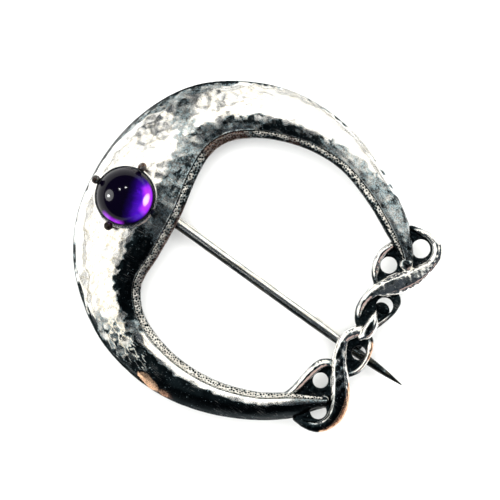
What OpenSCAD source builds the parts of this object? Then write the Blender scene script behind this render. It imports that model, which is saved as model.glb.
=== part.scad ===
// Hammered silver ring brooch with a round amethyst, a pierced two strand knot and a hinged pin.
// It lies on its back: the crescent's outer rim and the underside of the hook touch z = 0.
// X runs from the stone towards the knot, Y across the brooch, Z up. The outline tables are laid
// out from the stone's centre, and the whole brooch is moved at the end to stand on its own centre.

/* [Stone] */
// Diameter of the cabochon
stone_d = 7.1; // [6.5:0.1:8]
// Height of the cabochon from its flat base to its top
stone_h = 3.3; // [2.5:0.1:4]
// Height of the straight girdle above the base
girdle_h = 0.55; // [0.3:0.05:0.8]
// Height of the stone's flat base above the surface the brooch lies on
stone_z = 5.45; // [5.3:0.05:5.6]
// Room left around the stone
stone_gap = 0.06; // [0.03:0.01:0.1]

/* [Setting] */
// Diameter of the round seat that carries the stone
seat_d = 7.85; // [7.5:0.05:8.2]
// Height of the lip that stands up around the girdle
seat_lip = 0.3; // [0.2:0.05:0.4]
// Diameter of the ball at the end of each claw
claw_ball_d = 1.08; // [0.9:0.02:1.2]
// Diameter of the wire of each claw
claw_wire_d = 0.8; // [0.6:0.05:0.9]

/* [Crescent and arms] */
// Height of the crest of the dome at the stone end
crest_z = 5.5; // [5.2:0.1:5.8]
// How much the dome of the arms swells again towards the knot
arm_rise = 0.75; // [0.5:0.05:0.9]
// Thickness of the domed sheet
sheet_t = 1.0; // [0.8:0.05:1.2]
// Thickness of the outer rim
rim_t = 0.7; // [0.5:0.05:1]
// Width of the punched band along the inner edge
band_w = 1.0; // [0.7:0.05:1.2]
// Depth of the groove beside the punched band
groove_depth = 0.14; // [0.05:0.01:0.2]

/* [Knot] */
// Height of the underside of the knot above the surface
knot_z = 4.1; // [4:0.05:4.3]
// Thickness of the sunk ground of the knot
ground_t = 0.85; // [0.6:0.05:1]
// Thickness of the raised straps
strap_t = 1.5; // [1.3:0.05:1.7]
// How much a strap rises where it passes over the other
over_t = 0.35; // [0.2:0.05:0.5]

/* [Pin] */
// Diameter of the stem
stem_d = 1.45; // [1.3:0.05:1.5]
// Length of the stem from its hinge to its point
stem_length = 38.7; // [38:0.1:40]
// Height of the stem's centre line above the surface
stem_z = 2.2; // [2.1:0.05:2.3]
// Angle of the stem from the brooch's own axis
stem_angle = 5.9; // [5:0.1:6.5]
// Lean of the hinge axis, which brings the stem sideways out of its hook
hinge_lean = 40; // [35:1:45]

/* [Hinge and hook] */
// Outer diameter of the barrel on the stem
barrel_d = 2.2; // [2:0.05:2.3]
// Length of the barrel
barrel_length = 2.0; // [1.8:0.05:2.2]
// Diameter of the rivet
rivet_d = 0.84; // [0.7:0.02:1]
// Thickness of each hinge ear
ear_t = 0.65; // [0.5:0.05:0.8]
// Width of the strip that the hook is bent from
hook_w = 1.75; // [1.5:0.05:2]
// Thickness of that strip
hook_t = 0.65; // [0.5:0.05:0.8]
// Radius inside the bend of the hook
hook_r = 1.3; // [1.2:0.05:1.4]

/* [Hidden] */

// Centre of the brooch's outline, measured from the stone
centre_x = 17.95;
centre_y = 1.11;
// How far the stone sits beside the axis that the tables are laid out on
STONE_Y = -0.25;

SMOOTH = 64;
TINY = 0.02;
FAR = 40;

// Columns of the section table
OUT_X = 0;
OUT_Y = 1;
IN_X = 2;
IN_Y = 3;

// Outer and inner edge of the band, from the upper arm's tip round the crescent to the lower
SECTIONS = [
    [34.6, 10.4, 33.6, 9.5],
    [33.5, 12.0, 32.1, 10.6],
    [31.6, 14.3, 29.9, 11.8],
    [27.5, 17.3, 26.0, 14.0],
    [22.0, 20.1, 21.3, 15.8],
    [16.0, 21.4, 16.8, 16.0],
    [10.3, 21.1, 12.4, 15.0],
    [5.0, 19.2, 9.2, 13.4],
    [0.5, 16.1, 7.2, 11.5],
    [-2.6, 11.8, 6.3, 9.0],
    [-4.5, 6.6, 6.4, 5.5],
    [-5.1, 1.0, 7.0, 1.0],
    [-4.4, -4.8, 7.1, -4.5],
    [-2.2, -9.8, 7.0, -8.5],
    [1.5, -14.0, 8.6, -11.2],
    [6.2, -17.2, 11.2, -12.9],
    [11.6, -18.9, 14.5, -14.0],
    [17.0, -19.2, 18.0, -14.4],
    [22.5, -18.1, 21.8, -14.1],
    [27.5, -16.0, 25.9, -12.9],
    [31.3, -13.5, 29.3, -11.1],
    [33.0, -11.5, 32.0, -9.9],
    [34.2, -10.3, 33.6, -9.2],
];
SECTION_STEPS = 2;
DOME_STEPS = 7;
// Width of the rim where the hollow starts, its rounding, and the width of a step
EDGE_W = 0.9;
RIM_ROUND = 0.15;
STEP_W = 0.08;

// Where the crest lies across the width, from the outer rim
CREST_AT = 0.72;
// Drop from the crest to the inner edge
INNER_DROP = 0.25;
// Width of the band at its widest, where the dome is as high as crest_z
WIDE_W = 12.12;
// The dome gets lower with the width, a little faster than in proportion
RISE_POWER = 1.25;
// The side of the dome is a quarter ellipse from one width and a parabola below the other
ELLIPSE_W = 11.2;
PARABOLA_W = 8;
// The rim leaves the surface beyond this x, and reaches rim_end_z at the knot
RIM_LIFT_X = -3;
KNOT_X = 33;
rim_end_z = knot_z;
// Where the arms start to swell towards the knot
SWELL_X = 15;
// Height of the inner wall, from the crest to its underside
WALL_H = 2.15;

// Columns of the strap tables
AT_X = 0;
AT_Y = 1;
HALF_W = 2;

// One strand, from the upper arm's outer corner to the lower arm's inner corner
STRAND_A = [
    [32.2, 13.9, 0.35],
    [33.4, 14.1, 0.35],
    [34.8, 14.1, 0.45],
    [36.0, 13.6, 0.6],
    [36.6, 12.4, 0.65],
    [36.5, 11.1, 0.7],
    [35.9, 9.7, 0.95],
    [35.1, 8.4, 1.1],
    [34.1, 7.1, 1.15],
    [33.1, 6.0, 1.0],
    [32.2, 4.9, 0.65],
    [31.7, 3.6, 0.4],
    [31.7, 2.2, 0.38],
    [32.3, 0.9, 0.45],
    [33.4, 0.1, 0.6],
    [34.6, -0.5, 0.55],
    [35.4, -1.8, 0.42],
    [35.5, -3.3, 0.34],
    [35.1, -4.7, 0.4],
    [33.8, -5.7, 0.5],
    [32.2, -5.4, 0.5],
    [31.1, -5.9, 0.42],
    [30.5, -7.0, 0.38],
    [30.1, -8.6, 0.36],
    [29.7, -10.4, 0.4],
];
// The other strand, from the upper arm's inner corner to the lower arm's outer corner
STRAND_B = [
    [31.2, 10.9, 0.4],
    [30.7, 9.7, 0.36],
    [30.6, 8.5, 0.36],
    [30.9, 7.4, 0.38],
    [31.5, 6.4, 0.42],
    [32.7, 5.7, 0.5],
    [34.2, 5.9, 0.5],
    [35.3, 5.3, 0.4],
    [35.5, 4.0, 0.32],
    [35.2, 2.8, 0.34],
    [34.6, 1.4, 0.5],
    [33.7, 0.4, 0.6],
    [32.5, -0.5, 0.55],
    [31.8, -1.8, 0.45],
    [32.0, -3.2, 0.6],
    [32.8, -4.8, 0.9],
    [33.8, -6.4, 1.05],
    [34.7, -7.9, 1.1],
    [35.4, -9.4, 1.0],
    [35.6, -10.8, 0.85],
    [35.2, -12.1, 0.75],
    [34.3, -13.0, 0.65],
    [33.0, -13.4, 0.5],
    [31.6, -13.4, 0.35],
];
STRAND_STEPS = 3;

// Columns of the table of crossings: the strand on top and its first and last row there
TOP_STRAND = 0;
FIRST_ROW = 1;
LAST_ROW = 2;
CROSSINGS = [
    [STRAND_A, 5, 10],
    [STRAND_B, 9, 13],
    [STRAND_B, 14, 19],
];

// Columns of the table of ground panels: rows of strand A, then rows of strand B
A_FIRST = 0;
A_LAST = 1;
B_FIRST = 2;
B_LAST = 3;
PANELS = [
    [0, 9, 0, 5],
    [9, 14, 6, 11],
    [14, 19, 11, 16],
    [20, 24, 16, 23],
];

// Columns of the table of pierced holes
HOLE_X = 0;
HOLE_Y = 1;
HOLE_D = 2;
HOLES = [
    [34.5, 12.3, 2.3],
    [32.1, 8.6, 2.05],
    [34.15, 4.0, 2.1],
    [34.1, -2.7, 2.1],
    [31.9, -7.8, 1.9],
    [33.55, -11.2, 2.0],
];

// Hinge point of the stem
HINGE_X = 2.5;
HINGE_Y = 0.62;
BORE_GAP = 0.03;
SIDE_GAP = 0.06;
rivet_bore_d = rivet_d + 2 * BORE_GAP;
ear_inner = barrel_length / 2 + SIDE_GAP;
ear_outer = ear_inner + ear_t;
ear_d = barrel_d - 0.1;
RIVET_HEAD_D = 1.4;
RIVET_HEAD_T = 0.28;
// How far along its own plane each ear reaches up into the dome
EAR_REACH_LOW = 4.7;
EAR_REACH_HIGH = 2.6;

// Columns of the stem's profile: distance from the hinge and radius as a part of the stem's
STEM_AT = 0;
STEM_R = 1;
STEM_CYLINDER = [6.6, 25.2];
STEM_ROOT_R = 1.08;
STEM_POINT = [
    [29.5, 0.88],
    [33.6, 0.76],
    [35.0, 0.66],
    [36.5, 0.48],
    [37.6, 0.29],
];
POINT_R = 0.06;

// Place of the hook along the stem, and its bend's centre below the stem
HOOK_AT = 31.15;
hook_outer_r = hook_r + hook_t;
hook_drop = stem_z - hook_outer_r;
HOOK_SIDE = 0.1;
HOOK_END_ANGLE = -108;
// Centre and radius of the round end of the hook's soldered foot
HOOK_FOOT = 5.9;
HOOK_FOOT_R = 1.05;

claw_r = stone_d / 2 + stone_gap + claw_ball_d / 2;
CLAW_Z = 6.35;
// Columns of the claw table: turn about the stone, and height at which the wire leaves the dome
CLAW_TURN = 0;
CLAW_FOOT = 1;
CLAWS = [
    [0, 4.8],
    [90, 4.3],
    [180, 2.2],
    [270, 4.3],
];
// The seat's underside is level over the crest and follows the slope of the dome outside it
SEAT_LEVEL_Z = 4.6;
SEAT_SLOPE_Z = 4.35;
SEAT_SLOPE = 26.5;
SEAT_LOWEST_Z = 2;

// Catmull-Rom curve through the rows of a table
function row_at(rows, k) = rows[max(0, min(len(rows) - 1, k))];
function curve(rows, t) =
    let (
        k = min(floor(t), len(rows) - 2),
        f = t - k,
        a = row_at(rows, k - 1),
        b = row_at(rows, k),
        c = row_at(rows, k + 1),
        d = row_at(rows, k + 2)
    )
    0.5 * (2 * b + (c - a) * f + (2 * a - 5 * b + 4 * c - d) * f * f
        + (3 * b - a - 3 * c + d) * f * f * f);

// Heights of the band of width w at a distance x from the stone
function part_way(x, from, to) = max(0, min(1, (x - from) / (to - from)));
function rim_z(x) = rim_end_z * part_way(x, RIM_LIFT_X, KNOT_X);
function top_z(x, w) =
    rim_z(x) + rim_t
        + (crest_z - rim_t) * pow(min(1, w / WIDE_W), RISE_POWER)
        + arm_rise * part_way(x, SWELL_X, KNOT_X);
function wall_z(x, top) = max(rim_z(x), top - WALL_H);

// Share of its height that the side of the dome has reached at a share u of the way to the crest
function side_share(u, w) =
    pow(1 - pow(1 - u, 2), 0.5 + 0.5 * part_way(w, ELLIPSE_W, PARABOLA_W));

// Height of the domed surface at a distance s from the outer rim, on a band of width w
function dome_z(s, w, rim, top) =
    let (crest = CREST_AT * w, low = rim + rim_t)
    s < crest
        ? low + (top - low) * side_share(s / crest, w)
        : top - INNER_DROP * pow((s - crest) / (w - crest), 2);
// Height of the hollow under it, which starts at a distance edge from the outer rim
function hollow_z(s, w, edge, rim, top) =
    let (crest = CREST_AT * w, high = top - sheet_t, low = rim + RIM_ROUND)
    s < crest ? low + (high - low) * side_share((s - edge) / (crest - edge), w) : high;

// One cross-section as columns: distance from the outer rim, upper height and lower height
function section(w, rim, top, wall) =
    let (
        band = min(band_w, 0.3 * w),
        edge = min(EDGE_W, 0.28 * w),
        dome_w = w - band,
        back = w - edge,
        low_top = dome_z(dome_w, w, rim, top) - groove_depth
    )
    concat(
        [[0, rim + rim_t, rim + 2 * RIM_ROUND]],
        [[0.45 * edge, dome_z(0.45 * edge, w, rim, top), rim]],
        [for (k = [0 : DOME_STEPS])
            let (s = edge + (dome_w - STEP_W - edge) * k / DOME_STEPS)
            [s, dome_z(s, w, rim, top), hollow_z(s, w, edge, rim, top)]],
        [[dome_w, low_top, top - sheet_t]],
        [[dome_w + back_shift(back, dome_w), low_top, top - sheet_t]],
        [[dome_w + back_shift(back, dome_w) + STEP_W, low_top, wall - RIM_ROUND]],
        [[w, low_top - RIM_ROUND, wall]]
    );
// The hollow ends under the punched band, just inside its groove
function back_shift(back, dome_w) = max(STEP_W, back - dome_w);

// The same section in space, along its upper side and back along its lower side
function ring_points(row) =
    let (
        out = [row[OUT_X], row[OUT_Y]],
        across = [row[IN_X], row[IN_Y]] - out,
        w = norm(across),
        x = row[OUT_X],
        top = top_z(x, w),
        columns = section(w, rim_z(x), top, wall_z(x, top)),
        last = len(columns) - 1
    )
    concat(
        [for (c = columns) concat(out + across * c[0] / w, c[1])],
        [for (k = [last : -1 : 0]) concat(out + across * columns[k][0] / w, columns[k][2])]
    );

module silver() {
    color([0.75, 0.75, 0.76])
        children();
}

// Crescent and both arms: one domed sheet, hollow behind
module crescent() {
    last = (len(SECTIONS) - 1) * SECTION_STEPS;
    rings = [for (k = [0 : last]) ring_points(curve(SECTIONS, k / SECTION_STEPS))];
    n = len(rings[0]);
    sides = [for (k = [0 : last - 1], j = [0 : n - 1])
        let (a = k * n + j, b = k * n + (j + 1) % n)
        each [[a, b, a + n], [b, b + n, a + n]]];
    first_cap = [for (j = [0 : n / 2 - 2]) [n - 1 - j, n - 2 - j, j + 1, j]];
    last_cap = [for (j = [0 : n / 2 - 2]) last * n * [1, 1, 1, 1] + [j, j + 1, n - 2 - j, n - 1 - j]];
    polyhedron([for (r = rings) each r], concat(first_cap, sides, last_cap));
}

// Points of a strand from one row to another
function strand_points(rows, first, last) =
    [for (k = [first * STRAND_STEPS : last * STRAND_STEPS]) curve(rows, k / STRAND_STEPS)];
function flat(p) = [p[AT_X], p[AT_Y]];
function side_of(points, k, turn) =
    let (
        a = flat(points[max(0, k - 1)]),
        b = flat(points[min(len(points) - 1, k + 1)]),
        along = (b - a) / norm(b - a)
    )
    flat(points[k]) + turn * points[k][HALF_W] * [-along[1], along[0]];
function reversed(list) = [for (k = [len(list) - 1 : -1 : 0]) list[k]];

// Flat outline of a strand between two of its rows
module strand_outline(rows, first, last) {
    points = strand_points(rows, first, last);
    left = [for (k = [0 : len(points) - 1]) side_of(points, k, 1)];
    right = [for (k = [0 : len(points) - 1]) side_of(points, k, -1)];
    polygon(concat(left, reversed(right)));
}

module strand(rows, first, last, thickness) {
    translate([0, 0, knot_z])
        linear_extrude(thickness)
            strand_outline(rows, first, last);
}

// Sunk ground between the two strands
module panel(row) {
    a = [for (p = strand_points(STRAND_A, row[A_FIRST], row[A_LAST])) flat(p)];
    b = [for (p = strand_points(STRAND_B, row[B_FIRST], row[B_LAST])) flat(p)];
    translate([0, 0, knot_z])
        linear_extrude(ground_t)
            polygon(concat(a, reversed(b)));
}

module knot() {
    difference() {
        union() {
            for (row = PANELS)
                panel(row);
            strand(STRAND_A, 0, len(STRAND_A) - 1, strap_t);
            strand(STRAND_B, 0, len(STRAND_B) - 1, strap_t);
            for (row = CROSSINGS)
                strand(row[TOP_STRAND], row[FIRST_ROW], row[LAST_ROW], strap_t + over_t);
        }
        holes();
    }
}

module holes() {
    for (hole = HOLES)
        translate([hole[HOLE_X], hole[HOLE_Y], knot_z - FAR])
            cylinder(h = 2 * FAR, d = hole[HOLE_D], $fn = SMOOTH);
}

// Round seat of the stone, with a lip around the girdle
module seat() {
    difference() {
        union() {
            seat_post(SEAT_LEVEL_Z);
            intersection() {
                seat_post(SEAT_LOWEST_Z);
                translate([0, 0, SEAT_SLOPE_Z])
                    rotate([0, -SEAT_SLOPE, 0])
                        translate([-FAR / 2, -FAR / 2, 0])
                            cube(FAR);
            }
        }
        stone_room();
    }
}

module seat_post(from_z) {
    translate([0, STONE_Y, from_z])
        cylinder(h = stone_z + seat_lip - from_z, d = seat_d, $fn = SMOOTH);
}

// Space kept clear for the stone
module stone_room() {
    translate([0, STONE_Y, stone_z - TINY])
        cylinder(h = FAR, d = stone_d + 2 * stone_gap, $fn = SMOOTH);
}

module claws() {
    for (claw = CLAWS)
        translate([0, STONE_Y, 0])
            rotate([0, 0, claw[CLAW_TURN]])
                translate([claw_r, 0, 0]) {
                    translate([0, 0, claw[CLAW_FOOT]])
                        cylinder(h = CLAW_Z - claw[CLAW_FOOT], d = claw_wire_d, $fn = SMOOTH);
                    translate([0, 0, CLAW_Z])
                        sphere(d = claw_ball_d, $fn = SMOOTH);
                }
}

// Moves a piece from the hinge's own frame: X along the stem, Y along the unleaned hinge axis
module at_hinge() {
    translate([HINGE_X, HINGE_Y, stem_z])
        rotate([0, 0, -stem_angle])
            children();
}

// Turns Z onto the leaned hinge axis, with X along the stem
module on_hinge_axis() {
    at_hinge()
        rotate([-90 - hinge_lean, 0, 0])
            children();
}

module ear(from, reach) {
    difference() {
        translate([0, 0, from])
            union() {
                cylinder(h = ear_t, d = ear_d, $fn = SMOOTH);
                translate([-ear_d / 2, -reach, 0])
                    cube([ear_d, reach, ear_t]);
            }
        cylinder(h = 2 * FAR, d = rivet_bore_d, center = true, $fn = SMOOTH);
    }
}

module ears() {
    on_hinge_axis() {
        ear(ear_inner, EAR_REACH_LOW);
        ear(-ear_outer, EAR_REACH_HIGH);
    }
}

// Hook bent from a flat strip: a soldered foot, then an arc under the stem
module hook() {
    foot_from = HOOK_SIDE + hook_r;
    foot_z = knot_z - stem_z - hook_t;
    at_hinge()
        translate([HOOK_AT - hook_w / 2, 0, 0])
            rotate([90, 0, 90])
                linear_extrude(hook_w)
                    union() {
                        translate([HOOK_SIDE, -hook_drop])
                            hook_arc();
                        translate([foot_from, -hook_drop])
                            square([hook_t, hook_drop + foot_z + hook_t + TINY]);
                        translate([foot_from, foot_z])
                            square([HOOK_FOOT - foot_from, hook_t + TINY]);
                    }
    at_hinge()
        translate([HOOK_AT, HOOK_FOOT, foot_z])
            cylinder(h = hook_t + TINY, r = HOOK_FOOT_R, $fn = SMOOTH);
}

module hook_arc() {
    steps = 18;
    arc = [for (k = [0 : steps]) HOOK_END_ANGLE * k / steps];
    outer = [for (a = arc) hook_outer_r * [cos(a), sin(a)]];
    inner = [for (a = arc) hook_r * [cos(a), sin(a)]];
    polygon(concat(outer, reversed(inner)));
    translate((hook_r + hook_t / 2) * [cos(HOOK_END_ANGLE), sin(HOOK_END_ANGLE)])
        circle(d = hook_t, $fn = SMOOTH);
}

module brooch_frame() {
    silver()
        translate([-centre_x, -centre_y, 0]) {
            difference() {
                crescent();
                holes();
                stone_room();
            }
            seat();
            knot();
            claws();
            ears();
            hook();
        }
}

// Cabochon: flat base, straight girdle and a domed top
module amethyst() {
    dome_h = stone_h - girdle_h;
    r = stone_d / 2;
    dome_r = (r * r + dome_h * dome_h) / (2 * dome_h);
    color([0.25, 0.08, 0.45])
        translate([-centre_x, STONE_Y - centre_y, stone_z]) {
            cylinder(h = girdle_h, d = stone_d, $fn = SMOOTH);
            translate([0, 0, girdle_h])
                intersection() {
                    translate([0, 0, dome_h - dome_r])
                        sphere(r = dome_r, $fn = SMOOTH);
                    cylinder(h = dome_h + 1, d = stone_d, $fn = SMOOTH);
                }
        }
}

// Pin: barrel, straight stem and a long point
module pin_stem() {
    r = stem_d / 2;
    profile = concat(
        [[0, 0], [0, r * STEM_ROOT_R], [STEM_CYLINDER[0], r], [STEM_CYLINDER[1], r]],
        [for (row = STEM_POINT) [row[STEM_AT], r * row[STEM_R]]],
        [[stem_length, POINT_R], [stem_length, 0]]
    );
    color([0.7, 0.7, 0.71])
        translate([-centre_x, -centre_y, 0])
            difference() {
                union() {
                    on_hinge_axis()
                        cylinder(h = barrel_length, d = barrel_d, center = true, $fn = SMOOTH);
                    at_hinge()
                        rotate([0, 90, 0])
                            rotate_extrude($fn = SMOOTH)
                                polygon([for (p = profile) [p[1], p[0]]]);
                }
                on_hinge_axis()
                    cylinder(h = FAR, d = rivet_bore_d, center = true, $fn = SMOOTH);
            }
}

module hinge_rivet() {
    head_at = ear_outer + SIDE_GAP / 2;
    color([0.6, 0.6, 0.6])
        translate([-centre_x, -centre_y, 0])
            on_hinge_axis() {
                cylinder(h = 2 * head_at + TINY, d = rivet_d, center = true, $fn = SMOOTH);
                for (side = [0, 1])
                    mirror([0, 0, side])
                        translate([0, 0, head_at])
                            cylinder(h = RIVET_HEAD_T, d = RIVET_HEAD_D, $fn = SMOOTH);
            }
}

brooch_frame();
amethyst();
pin_stem();
hinge_rivet();
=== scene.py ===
"""Hammered silver ring brooch with an amethyst, a pierced knot and a hinged pin.

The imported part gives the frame. This file builds the finish over it: the hammered crescent with
its punched band, the bevelled knot, the setting and its stone, the pin and its fittings.
Lengths are in millimetres from the stone's centre until a piece is placed in the part's frame.
"""

import math

import bpy
import numpy as np
from mathutils import Matrix, Vector


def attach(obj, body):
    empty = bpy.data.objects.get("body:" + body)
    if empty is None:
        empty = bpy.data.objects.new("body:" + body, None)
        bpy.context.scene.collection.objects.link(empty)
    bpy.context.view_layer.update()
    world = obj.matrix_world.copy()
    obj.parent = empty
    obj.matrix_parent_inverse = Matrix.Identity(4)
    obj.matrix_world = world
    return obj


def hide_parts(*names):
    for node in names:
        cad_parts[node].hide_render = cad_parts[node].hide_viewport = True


bl_info = {
    "name": "Hammered Silver Brooch",
    "version": (1, 0, 0),
    "blender": (4, 5, 0),
    "location": "3D View > Sidebar > Brooch",
    "description": "Hammered crescent, punched band, pierced knot, amethyst setting and pin",
    "category": "Add Mesh",
}

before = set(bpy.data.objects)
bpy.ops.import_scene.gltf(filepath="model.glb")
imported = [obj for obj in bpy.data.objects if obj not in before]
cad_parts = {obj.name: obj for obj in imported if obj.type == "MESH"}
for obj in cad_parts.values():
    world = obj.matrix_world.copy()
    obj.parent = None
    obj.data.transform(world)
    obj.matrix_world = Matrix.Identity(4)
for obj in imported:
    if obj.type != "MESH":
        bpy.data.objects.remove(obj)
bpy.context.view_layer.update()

MM = 0.001
# Middle of the part's frame, seen from the stone's centre
CENTRE = np.array([17.95, 1.11, 0.0])

# Sections from the upper arm's tip round the crescent to the lower tip: outer edge x and y, inner
# edge x and y, width of the punched band, where the crest lies across the width, and the drop
# from the crest to the inner edge
SECTIONS = np.array([
    [34.6, 10.4, 33.6, 9.5, 0.34, 0.62, 0.30],
    [33.5, 12.0, 32.1, 10.6, 0.60, 0.62, 0.34],
    [31.6, 14.3, 29.9, 11.8, 0.86, 0.64, 0.38],
    [27.5, 17.3, 26.0, 14.0, 0.96, 0.66, 0.42],
    [22.0, 20.1, 21.3, 15.8, 0.92, 0.68, 0.42],
    [16.0, 21.4, 16.8, 16.0, 0.86, 0.70, 0.42],
    [10.3, 21.1, 12.4, 15.0, 0.86, 0.70, 0.40],
    [5.0, 19.2, 9.2, 13.4, 0.96, 0.71, 0.36],
    [0.5, 16.1, 7.2, 11.5, 1.02, 0.72, 0.34],
    [-2.6, 11.8, 6.3, 9.0, 1.10, 0.72, 0.32],
    [-4.5, 6.6, 6.4, 5.5, 1.14, 0.72, 0.32],
    [-5.1, 1.0, 7.0, 1.0, 1.10, 0.72, 0.32],
    [-4.4, -4.8, 7.1, -4.5, 1.06, 0.72, 0.34],
    [-2.2, -9.8, 7.0, -8.5, 1.04, 0.71, 0.38],
    [1.5, -14.0, 8.6, -11.2, 1.02, 0.66, 0.46],
    [6.2, -17.2, 11.2, -12.9, 0.96, 0.62, 0.56],
    [11.6, -18.9, 14.5, -14.0, 0.90, 0.60, 0.62],
    [17.0, -19.2, 18.0, -14.4, 0.84, 0.59, 0.64],
    [22.5, -18.1, 21.8, -14.1, 0.80, 0.58, 0.62],
    [27.5, -16.0, 25.9, -12.9, 0.74, 0.58, 0.56],
    [31.3, -13.5, 29.3, -11.1, 0.60, 0.60, 0.46],
    [33.0, -11.5, 32.0, -9.9, 0.40, 0.62, 0.34],
    [34.2, -10.3, 33.6, -9.2, 0.28, 0.62, 0.28],
])

# Strands of the knot: x, y, half width, height of the top above the knot's underside
STRAND_A = np.array([
    [32.2, 13.9, 0.35, 1.00], [33.4, 14.1, 0.36, 1.30], [34.8, 14.1, 0.45, 1.42],
    [36.0, 13.6, 0.60, 1.48], [36.6, 12.4, 0.65, 1.50], [36.5, 11.1, 0.70, 1.58],
    [35.9, 9.7, 1.08, 1.76], [35.1, 8.4, 1.25, 1.88], [34.1, 7.1, 1.32, 1.92],
    [33.1, 6.0, 1.15, 1.88], [32.2, 4.9, 0.76, 1.72], [31.7, 3.6, 0.53, 1.52],
    [31.7, 2.2, 0.50, 1.34], [32.3, 0.9, 0.48, 1.10], [33.4, 0.1, 0.50, 1.00],
    [34.6, -0.5, 0.46, 1.15], [35.3, -1.8, 0.36, 1.40], [35.5, -3.3, 0.30, 1.42],
    [35.1, -4.7, 0.38, 1.22], [33.8, -5.7, 0.50, 1.00], [32.2, -5.4, 0.56, 1.20],
    [31.1, -5.9, 0.58, 1.42], [30.5, -7.0, 0.56, 1.50], [30.1, -8.6, 0.52, 1.50],
    [29.7, -10.4, 0.48, 1.38], [29.3, -11.3, 0.44, 1.28], [28.8, -12.2, 0.32, 1.00],
])
STRAND_B = np.array([
    [31.2, 10.9, 0.40, 1.50], [30.7, 9.7, 0.44, 1.55], [30.6, 8.5, 0.45, 1.52],
    [30.9, 7.4, 0.46, 1.42], [31.5, 6.4, 0.42, 1.18], [32.7, 5.7, 0.50, 1.00],
    [34.2, 5.9, 0.50, 1.00], [35.3, 5.3, 0.36, 1.15], [35.45, 4.0, 0.27, 1.30],
    [35.1, 2.8, 0.28, 1.30], [34.6, 1.7, 0.34, 1.25], [33.8, 0.5, 0.66, 1.40],
    [32.6, -0.6, 0.70, 1.72], [31.9, -1.8, 0.62, 1.80], [32.1, -3.2, 0.74, 1.84],
    [32.8, -4.8, 0.98, 1.90], [33.8, -6.4, 1.12, 1.95], [34.7, -7.9, 1.18, 1.92],
    [35.4, -9.4, 1.10, 1.80], [35.6, -10.8, 0.95, 1.65], [35.2, -12.1, 0.75, 1.55],
    [34.3, -13.0, 0.65, 1.48], [33.0, -13.4, 0.50, 1.30], [31.6, -13.4, 0.35, 1.00],
])
# The pointed leaf between the two middle holes
LEAF = np.array([
    [33.45, 3.1, 0.06, 1.30], [33.62, 2.4, 0.40, 1.70], [33.85, 1.5, 0.70, 1.98],
    [33.92, 0.6, 0.80, 2.05], [33.80, -0.2, 0.72, 2.00], [33.55, -0.8, 0.40, 1.80],
])
# Rounded tips of the two arms: x, y, radius, height of the top
TONGUES = ((33.85, 9.75, 0.8, 1.88), (33.5, -9.55, 0.55, 1.7))
# Rows of strand A, then rows of strand B, that close each piece of sunk ground
GROUND = ((0, 9, 0, 5), (9, 14, 5, 11), (14, 19, 11, 16), (19, 24, 16, 23))
GROUND_TOP = 0.85
# Space that the knot's skin is drawn in: x, y, and the greatest height above the knot's underside
KNOT_SPACE = ((28.2, 37.75), (-14.7, 15.0), 2.35)
# Pierced holes: x, y, diameter
HOLES = (
    (34.5, 12.3, 2.3),
    (32.1, 8.6, 2.05),
    (34.15, 4.0, 2.1),
    (34.3, -2.55, 1.75),
    (31.9, -7.8, 1.9),
    (33.55, -11.2, 2.0),
)

# Dark patches on the crescent: painted shade across the saddle from the upper rim to the inner side, and a
# dark line along the rim: x, y, half width, strength
PAINTED_SADDLE_AND_RIM_DARK = (
    ((-0.9, 14.6, 1.5, 0.9), (0.3, 12.6, 1.45, 0.85), (1.9, 10.8, 1.5, 0.8), (4.0, 9.2, 2.2, 0.8),
     (4.6, 6.4, 1.8, 0.95), (5.0, 3.0, 1.6, 0.85)),
    ((-5.1, 0.6, 0.2, 0.85), (-4.8, 4.2, 0.42, 0.9), (-3.9, 8.4, 0.65, 0.9), (-2.6, 11.5, 1.0, 0.95),
     (-0.7, 14.4, 1.2, 0.95), (1.6, 16.7, 0.8, 0.9), (4.6, 18.8, 0.3, 0.8)),
)
# Worn patches at the lower rim: kind, x, y, half length, strength, and their half width
PATCHES = (("copper", 13.0, -18.3, 0.95, 1.0), ("copper", 14.3, -18.75, 0.85, 1.0),
           ("copper", 16.2, -18.9, 0.8, 0.62), ("brown", 16.3, -18.85, 1.1, 1.0))
PATCH_HALF_WIDTH = 0.5
# Dark places on the knot: strength, x, y, and how far they reach both ways
KNOT_SPOTS = ((0.9, 35.5, 4.0, 0.6, 1.7), (0.7, 33.9, 0.8, 0.4, 1.1), (0.75, 33.8, 9.8, 0.8, 0.8),
              (0.4, 33.4, -9.5, 0.5, 0.5))
# Painted rosy reflection along the right side of the knot's lower loop: x, y, half width, strength
PAINTED_ROSY_REFLECTION_SIDE = ((35.2, -6.4, 0.25, 1), (36.0, -7.9, 0.5, 1), (36.45, -9.5, 0.62, 1),
               (36.45, -11.0, 0.6, 1), (35.9, -12.3, 0.4, 1), (35.0, -13.2, 0.2, 1))

# The domed sheet: height of its crest, how far the arms swell over it, its thickness, and the
# height and the rounding of the outer rim
CREST_Z, ARM_SWELL, SHEET, RIM, RIM_ROUND = 5.5, 0.75, 1.0, 0.7, 0.24
# Where the rim starts to lift and the arms to swell, and where the knot starts and its underside
RIM_LIFT_X, SWELL_X, KNOT_X, KNOT_Z = -3.0, 15.0, 33.0, 4.1
# The widest section, the height of the inner wall, the foot of the hollow, the rounding of the
# dome's inner edge and the gap between it and the punched band
WIDEST, WALL_H, RIM_FOOT, DOME_EDGE, GROOVE = 12.12, 2.15, 0.9, 0.1, 0.03
# Sections along the crescent and the band, and points over a section's slope, shoulder and hollow
DOME_RINGS, BAND_RINGS = 430, 1750
SLOPE_POINTS, SHOULDER_POINTS, HOLLOW_POINTS = 84, 30, 44
# How many places are tried when the marks of hammer and punch are scattered
TRIES = 26000

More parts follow.
